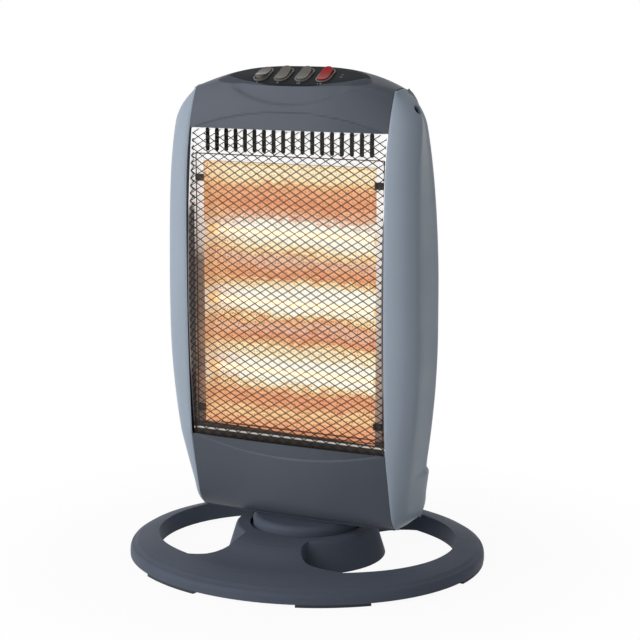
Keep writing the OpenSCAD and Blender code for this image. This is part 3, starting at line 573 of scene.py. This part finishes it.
def glowing_reflector(name, is_end=False):
    """Polished sheet with the light of the tubes painted on as glowing level bands."""
    k = Look(name, 0.5, 0.0, 0.0)
    k.out("Base Color", lin(30, 20, 14))
    sep = k.node("ShaderNodeSeparateXYZ", Vector=k.coord)
    wave = k.noise(26, 3, (0.35, 0.35, 1.0))
    ripple = k.noise(240, 2, (0.5, 0.1, 1.5))
    shift = k.wobble(wave, 0.022)
    grit = k.wobble(ripple, 0.024)
    z = k.math("ADD", k.math("ADD", sep.outputs["Z"], shift), grit)
    low, span = 135, 300
    t = k.math("DIVIDE", k.math("SUBTRACT", z, low * MM), span * MM, True)
    deep, orange = lin(230, 156, 116), lin(238, 174, 130)
    gold, pale, white = lin(250, 212, 156), lin(254, 238, 198), lin(255, 253, 238)
    grey = lin(236, 196, 170)
    # A ramp holds at most 32 stops, so the bands above this height are on a second one.
    split_z = 0.3635
    glow = k.level_ramp(t, low, span, [
        (143, deep), (150, orange), (160, gold), (165, orange), (174, deep), (179, orange),
        (184, gold), (188, pale), (192, white), (210, white), (217, pale), (226, pale),
        (231, gold), (236, orange), (241, deep), (247, grey), (252, orange), (257, gold),
        (261, pale), (266, white), (287, white), (293, pale), (298, gold), (304, deep),
        (312, orange), (322, grey), (328, gold), (334, pale), (343, white), (356, white),
        (363, grey),
    ])
    high = k.level_ramp(t, low, span, [
        (364, grey), (372, orange), (378, deep), (388, orange), (395, orange), (401, gold),
        (408, pale), (417, pale), (424, gold),
    ])
    is_high = k.math("GREATER_THAN", z, split_z)
    glow = k.mix(is_high, glow, high)
    # Towards the left end the light bands turn orange.
    left = k.node("ShaderNodeMapRange", From_Min=-0.064, From_Max=-0.100, To_Min=0.0, To_Max=0.5)
    k.link(sep.outputs["X"], left.inputs["Value"])
    glow = k.mix(left.outputs["Result"], glow, lin(242, 184, 130))
    # Rows of small dots, darker at their middles, a painted reflection of the guard's mesh, least dark
    # where the sheet is palest.
    cell = k.node("ShaderNodeTexVoronoi", Scale=310.0, Randomness=0.35)
    flat = k.node("ShaderNodeMapping", Vector=k.coord)
    flat.inputs["Scale"].default_value = (0, 2.2, 1) if is_end else (1, 0, 1)
    k.link(flat.outputs["Vector"], cell.inputs["Vector"])
    mesh_reflection_dot = k.math("LESS_THAN", cell.outputs["Distance"], 0.3)
    sep_col = k.node("ShaderNodeSeparateColor")
    k.link(glow, sep_col.inputs["Color"])
    pale_part = k.beyond(sep_col.outputs["Blue"], 0.35, 1.7)
    share = k.math("MULTIPLY", mesh_reflection_dot, k.math("SUBTRACT", 0.66, k.math("MULTIPLY", pale_part, 0.58)))
    glow = k.mix(share, glow, lin(160, 86, 54))
    # The end plates' painted glow is a little dimmer.
    if is_end:
        glow = k.mix(0.16, glow, lin(120, 66, 44))
    # The bands are painted light, given out as glow.
    k.out("Emission Color", glow)
    k.out("Emission Strength", 1.0)
    k.out("Normal", k.bump(ripple, 0.0006))
    return k.mat


end_mat = glowing_reflector("lit_end_plate", True)
cap_mat = warm_metal("lit_cap", lin(250, 206, 150), 0.9)
clip_brass_mat = warm_metal("lit_clip", lin(214, 150, 96), 0.6)
plate_mat = front_plate_look()
ceramic_mat = ceramic()
quartz_mat = quartz()
wire_mat = hot_wire()
reflector_mat = glowing_reflector("lit_reflector")


def dress(obj, mat):
    obj.data.materials.clear()
    obj.data.materials.append(mat)


def stand_for(obj, node, body, mat, angle):
    """Makes an object take the place of a CAD node, in its material and riding on its body."""
    dress(obj, mat)
    soften(obj, angle)
    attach(obj, body)
    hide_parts(node)


# ---------- hood, panel, chin and side shells ----------

def catmull(points, dense):
    """A smooth curve through points, `dense` steps to each stretch."""
    p = [np.array(q, float) for q in points]
    p = [2 * p[0] - p[1]] + p + [2 * p[-1] - p[-2]]
    out = []
    for i in range(1, len(p) - 2):
        a, b, c, d = p[i - 1], p[i], p[i + 1], p[i + 2]
        for t in np.linspace(0, 1, dense, endpoint=False):
            out.append(0.5 * (2 * b + (c - a) * t + (2 * a - 5 * b + 4 * c - d) * t * t
                              + (3 * b - a - 3 * c + d) * t ** 3))
    out.append(p[-2])
    return [tuple(q) for q in out]


# The hood's section runs up its front, over the crown and down its back.
heights = [457, 464, 471, 478, 485, 490, 495]
hood_profile = [(front_y(z), z) for z in heights]
hood_profile += [(-27, 498.6), (-20, 500.2), (-12, 500.6), (-3, CROWN)]
hood_profile += [(back_y(z), z) for z in reversed(heights)]
hood_profile = catmull(hood_profile, 6)
SCOOP_Z, SCOOP_RISE, SCOOP_DEPTH = 481, 9.0, 2.1     # the upper arc, below the panel
ARCH_Z, ARCH_DROP, ARCH_DEPTH = 475, 15.0, 1.7       # the lower arc
ARC_EDGE = 0.8                                       # half the width of an arc's soft edge


def lift_share(y, z):
    """How much of the crown's rise towards the middle a point of the section takes part in."""
    if y < -4:
        return 0.67 * smooth((z - 460) / 28) + 0.33 * smooth((y + 30) / 30)
    return smooth((z - HOOD_Z) / 38)


def hood_relief(x, z):
    """Depth of the two moulded arcs on the hood's front, inwards, in mm."""
    scoop = SCOOP_Z + SCOOP_RISE * (x / 50) ** 2
    arch = ARCH_Z - ARCH_DROP * (x / 100) ** 2
    depth = SCOOP_DEPTH * smooth((z - scoop) / 3.0) * (1 - smooth((z - scoop - 6) / 22))
    depth *= 1 - smooth((abs(x) - 52) / 20)
    if z < arch + ARC_EDGE:
        lower = max(0.0, (z - HOOD_Z) / max(1.0, arch - HOOD_Z))
        depth += ARCH_DEPTH * lower * smooth((arch + ARC_EDGE - z) / (2 * ARC_EDGE))
    return depth


def hood_point(x, y, z):
    out_y = y - bow_at(x) * smooth(-y / 25)
    out_z = z + (TOTAL - CROWN) * (1 - abs(x / STRIP) ** 2.8) * lift_share(y, z)
    if y < -20:
        out_y += hood_relief(x, out_z)
    return (x, out_y, out_z)


hood_xs = np.linspace(-STRIP, STRIP, 151)
hood_grid = [[hood_point(x, y, z) for y, z in hood_profile] for x in hood_xs]


def hood_clip(outer, inner):
    """Ends the inner skin level with the outer one's sides and lower edges."""
    inner[:, :, 0] = outer[:, :, 0]
    inner[:, 0, 2] = HOOD_Z
    inner[:, -1, 2] = HOOD_Z
    return inner


def on_panel(obj):
    """Moves an object made flat at the origin onto the sloping plane of the control panel."""
    obj.matrix_world = Matrix.Translation((0, PANEL_Y * MM, PANEL_Z * MM)) @ Matrix.Rotation(
        PANEL_SLOPE, 4, "X")
    bpy.context.view_layer.update()


def rocker_x(n):
    return ROCKER_MID + (n - 2.5) * ROCKER_PITCH


# The sloping plane cuts a lens-shaped opening into the hood, which the panel fills.
hood = shell_from_grid("hood_shell", hood_grid, -WALL, hood_clip)
cutter = box_object("cutter", (-120, -1, 0), (120, 51, 40))
on_panel(cutter)
boolean(hood, cutter)
stand_for(hood, "hood", "head", hood_mat, 28)

# The panel is a slab of the hood's full bulk, so its edge follows the opening.
bulk = [p for row in hood_grid for p in row]
bulk += [(p[0], 0.1 * p[1], 470) for p in bulk]
panel = mesh_object("panel_plate", bulk, closed_faces(len(hood_grid), len(hood_grid[0])))
outward(panel)
slab = box_object("slab", (-118, -5, 0.02), (118, 55, PANEL_T))
on_panel(slab)
boolean(panel, slab, "INTERSECT")
for n in (1, 2, 3, 4):
    hole = prism_object("hole", slot_outline(26.6, 14.6), -10, 10)
    hole.data.transform(Matrix.Translation((rocker_x(n) * MM, ROCKER_S * MM, 0)))
    on_panel(hole)
    boolean(panel, hole)
stand_for(panel, "control_panel", "head", panel_mat, 28)


CHIN_ARC_Z, CHIN_ARC_RISE, CHIN_ARC_DEPTH = 116, 16.0, 1.1
POST_ROOM = 21.5         # radius of the chin's cut around the post


def chin_relief(x, z):
    """Depth of the moulded arc on the chin's front, inwards, in mm."""
    arc = CHIN_ARC_Z + CHIN_ARC_RISE * (x / 112) ** 2
    if z < arc - ARC_EDGE:
        return 0.0
    top = max(0.0, 1 - (z - arc) / max(1.0, CHIN_Z + 2 - arc))
    return CHIN_ARC_DEPTH * top * smooth((z - arc + ARC_EDGE) / (2 * ARC_EDGE))


# The chin's section runs down its front, round its foot and a little way back under it.
chin_profile = [(front_y(z), z) for z in np.linspace(CHIN_Z, 72, 60)]
chin_profile += [(front_y(z), z) for z in
                 (69, 66, 63, 60.5, 58, 56, 54, 52, 50.5, 49.2, 48.2, 47.4, 46.8, 46.3, 46)]
chin_profile += [(-20, 46), (-17, 46), (-14, 46)]
chin_grid = []
for x in np.linspace(-STRIP, STRIP, 121):
    row = []
    for y, z in chin_profile:
        yy = y - bow_at(x) if y < -14.5 else y
        yy += chin_relief(x, z) if z > 100 else 0.0
        row.append((x, yy, z))
    chin_grid.append(row)


def chin_clip(outer, inner):
    """Ends the inner skin level with the outer one's sides and edges, and above the underside."""
    inner[:, :, 0] = outer[:, :, 0]
    inner[:, 0, 2] = CHIN_Z
    inner[:, -1, 1] = outer[:, -1, 1]
    inner[:, :, 2] = np.maximum(inner[:, :, 2], HEAD_LOW)
    return inner


chin = shell_from_grid("chin_shell", chin_grid, WALL, chin_clip)
# The chin ends at y -14, so the cut for the post stops a little way behind that edge.
post_cut = [(x, min(-9.0, y)) for x, y in oval(POST_ROOM, POST_ROOM, 48)]
boolean(chin, prism_object("hole", post_cut, 30, 60))
stand_for(chin, "chin", "head", chin_mat, 28)


SIDE_TOP, SIDE_STEPS = 497.6, 16     # last level of a side shell, and steps round each corner
SEAM = 0.15                          # gap between the middle strip and a side shell


def crown_rise(x, y, z):
    """The last levels of a side shell rise to meet the crown of the hood along the seam."""
    path = [(-31, SIDE_TOP), (-27, 498.6), (-23.5, 499.6), (-20, 500.2), (-16, 500.6), (-12, 500.6),
            (-7.5, 500.1), (-3, CROWN), (-0.5, 498.5), (1.6, SIDE_TOP)]
    target = np.interp(y, [p[0] for p in path], [p[1] for p in path])
    return (target - SIDE_TOP) * smooth(1 - (x - STRIP) / 10) * smooth((z - 488) / 9.6)


def side_section(z):
    """Points round a side shell at one height, from the front seam to the rear one."""
    w = half_w(z) - STRIP
    yf, yb = front_y(z), back_y(z)
    step = min(1, w / 20)
    pull = step * 8.5 * (max(0, z - MID_Z) / 160) ** 1.8
    y1 = yf + min(22, 0.55 * (yb - yf))
    y2 = min(20 - 0.9 * pull, yb - min(14, 0.4 * (yb - yf)))
    w2 = max(0.3 * w, w - step * (5 - 3 * smooth((SWELL_Z - z) / 8)) - 0.85 * pull)
    pts = [(STRIP + SEAM, yf + 0.55, z)]
    for t in np.linspace(3, 90, SIDE_STEPS):
        a = math.radians(t)
        pts.append((STRIP + w * math.sin(a), yf + (y1 - yf) * (1 - math.cos(a)), z))
    for k in (0.25, 0.5, 0.75):
        pts.append((STRIP + w + (w2 - w) * k, y1 + (y2 - y1) * k, z))
    for t in np.linspace(0, 88, SIDE_STEPS):
        a = math.radians(t)
        pts.append((STRIP + w2 * math.cos(a), y2 + (yb - y2) * math.sin(a), z))
    pts.append((STRIP + SEAM, yb - 0.35, z))
    return [(x, y, zz + crown_rise(x, y, zz)) for x, y, zz in pts]


levels = [46.3, 46.6, 47, 47.6, 48.4, 49.4, 50.6, 52, 54, 56, 58.5, 61, 64, 67, 70, 73]
levels += list(np.arange(77, 95, 3)) + list(np.arange(95, 106, 0.8)) + list(np.arange(108, 455, 6))
levels += list(np.arange(456, 486, 2)) + [487, 488.6, 490, 491.4, 492.8, 494, 495.1, 496.1, 497]
levels.append(SIDE_TOP)
side_grid = [side_section(z) for z in levels]


def side_clip(outer, inner):
    """Keeps the inner skin on its own side of the seam."""
    inner[:, :, 0] = np.maximum(inner[:, :, 0], STRIP + SEAM)
    return inner


# Place and tilt of the round recess in the right shell's shoulder.
RECESS = Matrix.Translation((0.1335, -0.0205, 0.4800)) @ Matrix.Rotation(math.radians(55), 4, "Y")


def at_recess(obj):
    obj.data.transform(RECESS)
    return obj


def mirror(obj):
    obj.data.transform(Matrix.Scale(-1, 4, (1, 0, 0)))
    obj.data.flip_normals()


for name in ("right", "left"):
    shell = shell_from_grid("side_%s_shell" % name, side_grid, WALL, side_clip)
    boolean(shell, at_recess(prism_object("hole", oval(5.0, 4.6), -10, 10)))
    # A closed well with a sunk screw stands behind the recess; its near-black plastic is painted shade.
    well = at_recess(prism_object("well", oval(6.0, 5.6), -9, -2.7))
    boolean(well, at_recess(prism_object("hole", oval(5.1, 4.7), -7, 2)))
    screw = at_recess(prism_object("screw", oval(2.8, 2.8), -7.2, -5.6))
    boolean(screw, at_recess(box_object("hole", (-2, -0.35, -6.2), (2, 0.35, -4))))
    inset = joined("screw_well_" + name, [well, screw])
    if name == "left":
        mirror(shell)
        mirror(inset)
    stand_for(shell, "side_shell_" + name, "head", side_mat, 28)
    dress(inset, recess_shade_mat)
    soften(inset, 30)
    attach(inset, "head")


# ---------- guard: fine diamond mesh that wraps back at both sides ----------

def guard_y(z):
    return -GUARD_FRONT + GUARD_R - math.sqrt(GUARD_R ** 2 - (z - GUARD_MID) ** 2)


DEPTH = 13.0             # how far a side return reaches back at most
HALF = 110.2             # half width of the mesh's face
LOW, HIGH = 129.0, 458.6 # heights of its rims
CELL_U, CELL_V, LIFT = 12.96, 7.85, 0.3              # a cell's size, and the first row's lift
STRAND, SIDE_STRAND, STRAND_T = 0.95, 0.8, 0.6       # widths and thickness of the strands
RIM, SIDE_RIM, RIM_T, RIM_REACH = 2.4, 1.6, 0.8, 8   # the same of the rims, and their side reach


def guard_place(u, v):
    """Point of the developed mesh: u across from the left return to the right one, v up."""
    y = guard_y(v)
    if u < 0:
        return Vector((-HALF, y - u, v))
    if u > 2 * HALF:
        return Vector((HALF, y + u - 2 * HALF, v))
    return Vector((-HALF + u, y, v))


verts, faces = [], []


def strand(a, b, wide, thick):
    """A flat strand between two points of the developed mesh, cut off where its return ends."""
    mid_v = (a[1] + b[1]) / 2
    room = min(DEPTH, PLATE_Y - 0.4 - guard_y(mid_v))
    low_u, high_u = -room, 2 * HALF + room
    if b[0] <= low_u or a[0] >= high_u:
        return
    cut = [max(0.0, (low_u - a[0]) / (b[0] - a[0])), min(1.0, (high_u - a[0]) / (b[0] - a[0]))]
    a, b = [(a[0] + (b[0] - a[0]) * c, a[1] + (b[1] - a[1]) * c) for c in cut]
    pa, pb = guard_place(*a), guard_place(*b)
    along = pb - pa
    if along.length < 0.4:
        return
    along.normalize()
    mid_u = (a[0] + b[0]) / 2
    face = Vector((0, -1, 0)) if 0 <= mid_u <= 2 * HALF else Vector((1, 0, 0))
    across = along.cross(face).normalized() * wide / 2
    deep = face * -thick
    pa, pb = pa - along * wide * 0.3, pb + along * wide * 0.3
    i = len(verts)
    for p in (pa, pb):
        verts.extend([p + across, p - across, p - across * 0.8 + deep, p + across * 0.8 + deep])
    faces.extend([(i, i + 1, i + 5, i + 4), (i + 1, i + 2, i + 6, i + 5), (i + 2, i + 3, i + 7, i + 6),
                  (i + 3, i, i + 4, i + 7), (i + 3, i + 2, i + 1, i), (i + 4, i + 5, i + 6, i + 7)])


nu = int((2 * HALF + 2 * DEPTH) / (CELL_U / 2)) + 1
nv = int((HIGH - LOW) / (CELL_V / 2))
u0 = HALF - (nu // 2) * CELL_U / 2
folds = (0.0, 2 * HALF)
for i in range(nu):
    for j in range(nv):
        if (i + j) % 2:
            continue
        for dj in (-1, 1):
            if not 0 <= j + dj <= nv:
                continue
            a = (u0 + i * CELL_U / 2, LOW + j * CELL_V / 2 + LIFT)
            b = (u0 + (i + 1) * CELL_U / 2, LOW + (j + dj) * CELL_V / 2 + LIFT)
            # A strand that crosses a fold is made in two.
            cuts = [f for f in folds if a[0] + 0.3 < f < b[0] - 0.3]
            pts = [a] + [(f, a[1] + (b[1] - a[1]) * (f - a[0]) / (b[0] - a[0])) for f in cuts] + [b]
            for p, q in zip(pts[:-1], pts[1:]):
                on_face = -0.1 <= (p[0] + q[0]) / 2 <= 2 * HALF + 0.1
                strand(p, q, STRAND if on_face else SIDE_STRAND, STRAND_T)
for z in (LOW, HIGH):
    strand((-RIM_REACH, z), (0, z), SIDE_RIM, RIM_T)
    strand((0, z), (2 * HALF, z), RIM, RIM_T)
    strand((2 * HALF, z), (2 * HALF + RIM_REACH, z), SIDE_RIM, RIM_T)
guard = mesh_object("guard_mesh", verts, faces)
dress(guard, guard_mat)
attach(guard, "head")
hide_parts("guard")

# A thin dark edge frames the window on the bright plate, a little way outside it.
edges = []
for x0, x1, z0, z1 in ((-108.2, -107.2, 141, 430), (107.2, 108.2, 141, 430),
                       (-108.2, 108.2, 429.4, 430.4), (-108.2, 108.2, 141, 142)):
    edges.append(box_object("edge", (x0, PLATE_Y - 0.7, z0), (x1, PLATE_Y + 0.1, z1)))
edge = joined("window_edge", edges)
bevel(edge, 0.2, 2)
dress(edge, line_mat)
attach(edge, "head")

# ---------- rockers, bezels and their marks ----------

MARK_LOW, MARK_HIGH = 3.6, 5.6       # the row of marks in front of the rockers, up the slope
MARK_HALF, MARK_RISE = 0.3, 0.12     # half width of a dash, and its height above the panel


def mark_box(x0, x1, y0, y1):
    return box_object("mark", (x0, y0, PANEL_T), (x1, y1, PANEL_T + MARK_RISE))


for n in (1, 2, 3, 4):
    rocker = node_copy("switch_rocker_%d" % n, "rocker_%d_key" % n)
    bevel(rocker, 0.55, 3, 30)
    stand_for(rocker, "switch_rocker_%d" % n, "rocker_%d" % n,
              red_mat if n == 4 else rocker_mat, 32)
    bezel = node_copy("switch_bezel_%d" % n, "bezel_%d_ring" % n)
    bevel(bezel, 0.35, 2, 30)
    stand_for(bezel, "switch_bezel_%d" % n, "head", bezel_mat, 32)

marks = []
# One, two and three dashes at the grey rockers.
for n in (1, 2, 3):
    for k in range(n):
        x = rocker_x(n) + (k - (n - 1) / 2) * 1.5
        marks.append(mark_box(x - MARK_HALF, x + MARK_HALF, MARK_LOW, MARK_HIGH))
# A dash and a ring at the red one.
x = rocker_x(4)
marks.append(mark_box(x - 2.2, x - 1.6, MARK_LOW, MARK_HIGH))
middle = (x + 1.4, 4.6)
ring_mark = prism_object("mark", oval(1.0, 1.0, 32, middle), PANEL_T, PANEL_T + MARK_RISE)
boolean(ring_mark, prism_object("hole", oval(0.55, 0.55, 32, middle), 0, 5))
marks.append(ring_mark)
# Two level dashes beside the row.
marks.append(mark_box(49, 52, 19, 19.6))
marks.append(mark_box(49, 51, 24, 24.6))
for m in marks:
    on_panel(m)
mark = joined("panel_marks", marks)
dress(mark, plastic("mark_ink", lin(176, 178, 180), 0.5))
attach(mark, "head")

# ---------- base ----------

BASE_TURN = math.radians(5)
PEDESTAL_TOP = 36
RECESS_RIM = 61      # nothing moves inside this radius
FLANK = 5.5          # how far the pedestal's wall stands out beyond the solid's
NARROW = 16.0        # how far one side of each ramp is drawn in


def ramp_place(x, y, z):
    """Draws one side of each ramp in, and stands the pedestal's wall out."""
    r = math.hypot(x, y)
    if r < RECESS_RIM:
        return x, y
    turn = math.atan2(y, x)
    off = max(0.0, math.degrees(turn - math.copysign(math.pi / 2, y)))
    share = smooth(off / 30) * (1 - smooth((off - 48) / 42)) * (1 - smooth((r - 112) / 28))
    turn -= share * NARROW / r
    flare = 1 + 0.25 * (1 - z / PEDESTAL_TOP)
    r += FLANK * flare * smooth((r - RECESS_RIM) / 5) * (1 - smooth((r - 84) / 30))
    return r * math.cos(turn), r * math.sin(turn)


# The base keeps the solid's own faces and normals, and only its points are moved.
shell = node_copy("base_shell", "base_moulding", False)
straight = Matrix.Rotation(-BASE_TURN, 4, "Z")
shell.data.transform(straight)
for v in shell.data.vertices:
    x, y = ramp_place(*(v.co / MM))
    v.co.x, v.co.y = x * MM, y * MM
shell.data.transform(straight.inverted())
dress(shell, base_mat)
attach(shell, "base")
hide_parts("base_shell")

# ---------- the other nodes keep their solids and get their materials ----------

looks = {
    "foot_pads": pad_mat, "base_plate": base_mat, "base_screws": steel_mat,
    "swivel_post": post_mat, "bearing_ring": acetal_mat, "retainer_ring": steel_mat,
    "swivel_fork": acetal_mat, "tip_switch": black_mat, "tip_plunger": plunger_mat,
    "turntable": base_mat, "head_floor": steel_mat, "turntable_screws": screw_mat,
    "chassis": box_mat, "front_plate": plate_mat, "reflector": reflector_mat,
    "reflector_end_left": end_mat, "reflector_end_right": end_mat, "heat_shield": box_mat,
    "tube_lower": quartz_mat, "tube_middle": quartz_mat, "tube_upper": quartz_mat,
    "filament_lower": wire_mat, "filament_middle": wire_mat, "filament_upper": wire_mat,
    "tube_caps": cap_mat, "tube_clips": clip_brass_mat, "guard_clips": clip_mat,
    "switch_body_1": black_mat, "switch_body_2": black_mat, "switch_body_3": black_mat,
    "switch_body_4": black_mat, "rear_cover": side_mat, "rear_screws": steel_mat,
    "motor_bracket": steel_mat, "oscillation_motor": case_mat, "crank": acetal_mat,
    "thermal_cutout": case_mat, "terminal_block": ceramic_mat, "cord_gland": black_mat,
}
for node, mat in looks.items():
    dress(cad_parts[node], mat)

# ---------- floor, light and camera ----------

def seen_directly(tree):
    """1 for what the camera sees straight, mirrored or through glass, and 0 for what lights it."""
    path = tree.nodes.new("ShaderNodeLightPath")
    out = path.outputs["Is Camera Ray"]
    for kind in ("Is Glossy Ray", "Is Transmission Ray"):
        n = tree.nodes.new("ShaderNodeMath")
        n.operation = "MAXIMUM"
        tree.links.new(out, n.inputs[0])
        tree.links.new(path.outputs[kind], n.inputs[1])
        out = n.outputs[0]
    return out


def shader_mix(tree, fac, first, second):
    n = tree.nodes.new("ShaderNodeMixShader")
    for source, socket in zip((fac, first, second), n.inputs):
        tree.links.new(source, socket)
    return n.outputs["Shader"]


def floor_look():
    """A pale floor that turns to plain white away from the object."""
    k = Look("pale_floor", 0.9)
    k.out("Base Color", (0.93, 0.93, 0.93, 1))
    far = k.node("ShaderNodeVectorMath", operation="LENGTH")
    k.link(k.coord, far.inputs[0])
    fade = k.node("ShaderNodeMapRange", From_Min=0.20, From_Max=0.45, To_Min=0.94, To_Max=1.0)
    k.link(far.outputs["Value"], fade.inputs["Value"])
    share = k.math("MULTIPLY", fade.outputs["Result"], seen_directly(k.tree))
    white = k.node("ShaderNodeEmission", Color=(1, 1, 1, 1), Strength=1.0)
    mixed = shader_mix(k.tree, share, k.shader.outputs["BSDF"], white.outputs["Emission"])
    k.link(mixed, k.tree.nodes["Material Output"].inputs["Surface"])
    return k.mat


FLOOR = 6        # half width in metres
corners = [(-FLOOR, -FLOOR, 0), (FLOOR, -FLOOR, 0), (FLOOR, FLOOR, 0), (-FLOOR, FLOOR, 0)]
floor = mesh_object("floor", corners, [(0, 1, 2, 3)], 1)
dress(floor, floor_look())

# The world is white where it is seen, and a weak white light elsewhere.
world = bpy.data.worlds.new("studio")
bpy.context.scene.world = world
world.use_nodes = True
tree = world.node_tree
weak = tree.nodes["Background"]
full = tree.nodes.new("ShaderNodeBackground")
for background, strength in ((weak, 0.2), (full, 1.0)):
    background.inputs["Color"].default_value = (1, 1, 1, 1)
    background.inputs["Strength"].default_value = strength
mixed = shader_mix(tree, seen_directly(tree), weak.outputs[0], full.outputs[0])
tree.links.new(mixed, tree.nodes["World Output"].inputs["Surface"])


def put(name, data, place, way):
    """Places a lamp or a camera so that it looks the given way."""
    obj = bpy.data.objects.new(name, data)
    bpy.context.collection.objects.link(obj)
    obj.location = place
    obj.rotation_euler = way.to_track_quat("-Z", "Y").to_euler()
    return obj


def lamp(name, place, aim_z, size, power):
    """A square area lamp that aims at a height on the object's axis."""
    data = bpy.data.lights.new(name, "AREA")
    data.shape = "RECTANGLE"
    data.size = size
    data.size_y = size
    data.energy = power
    put(name, data, place, Vector((0, 0, aim_z)) - Vector(place))


lamp("key", (-1.7, -1.3, 0.6), 0.3, 1.2, 16)
lamp("high", (-1.3, -1.5, 2.0), 0.3, 1.2, 9)
lamp("front", (-0.2, -2.3, 0.9), 0.3, 1.2, 12)
lamp("top", (0.1, 0.5, 2.2), 0.4, 1.4, 3)

# The camera was fitted to the photograph's outline.
LENS, SENSOR, SHIFT = 100.04, 36, 0.0211
CAMERA_AT, CAMERA_WAY = (0.8365, -1.6417, 0.5848), (-0.4469, 0.8771, -0.1761)
optics = bpy.data.cameras.new("camera")
optics.lens = LENS
optics.sensor_width = SENSOR
optics.shift_x = SHIFT
bpy.context.scene.camera = put("camera", optics, CAMERA_AT, Vector(CAMERA_WAY))
bpy.context.scene.view_settings.view_transform = "Standard"
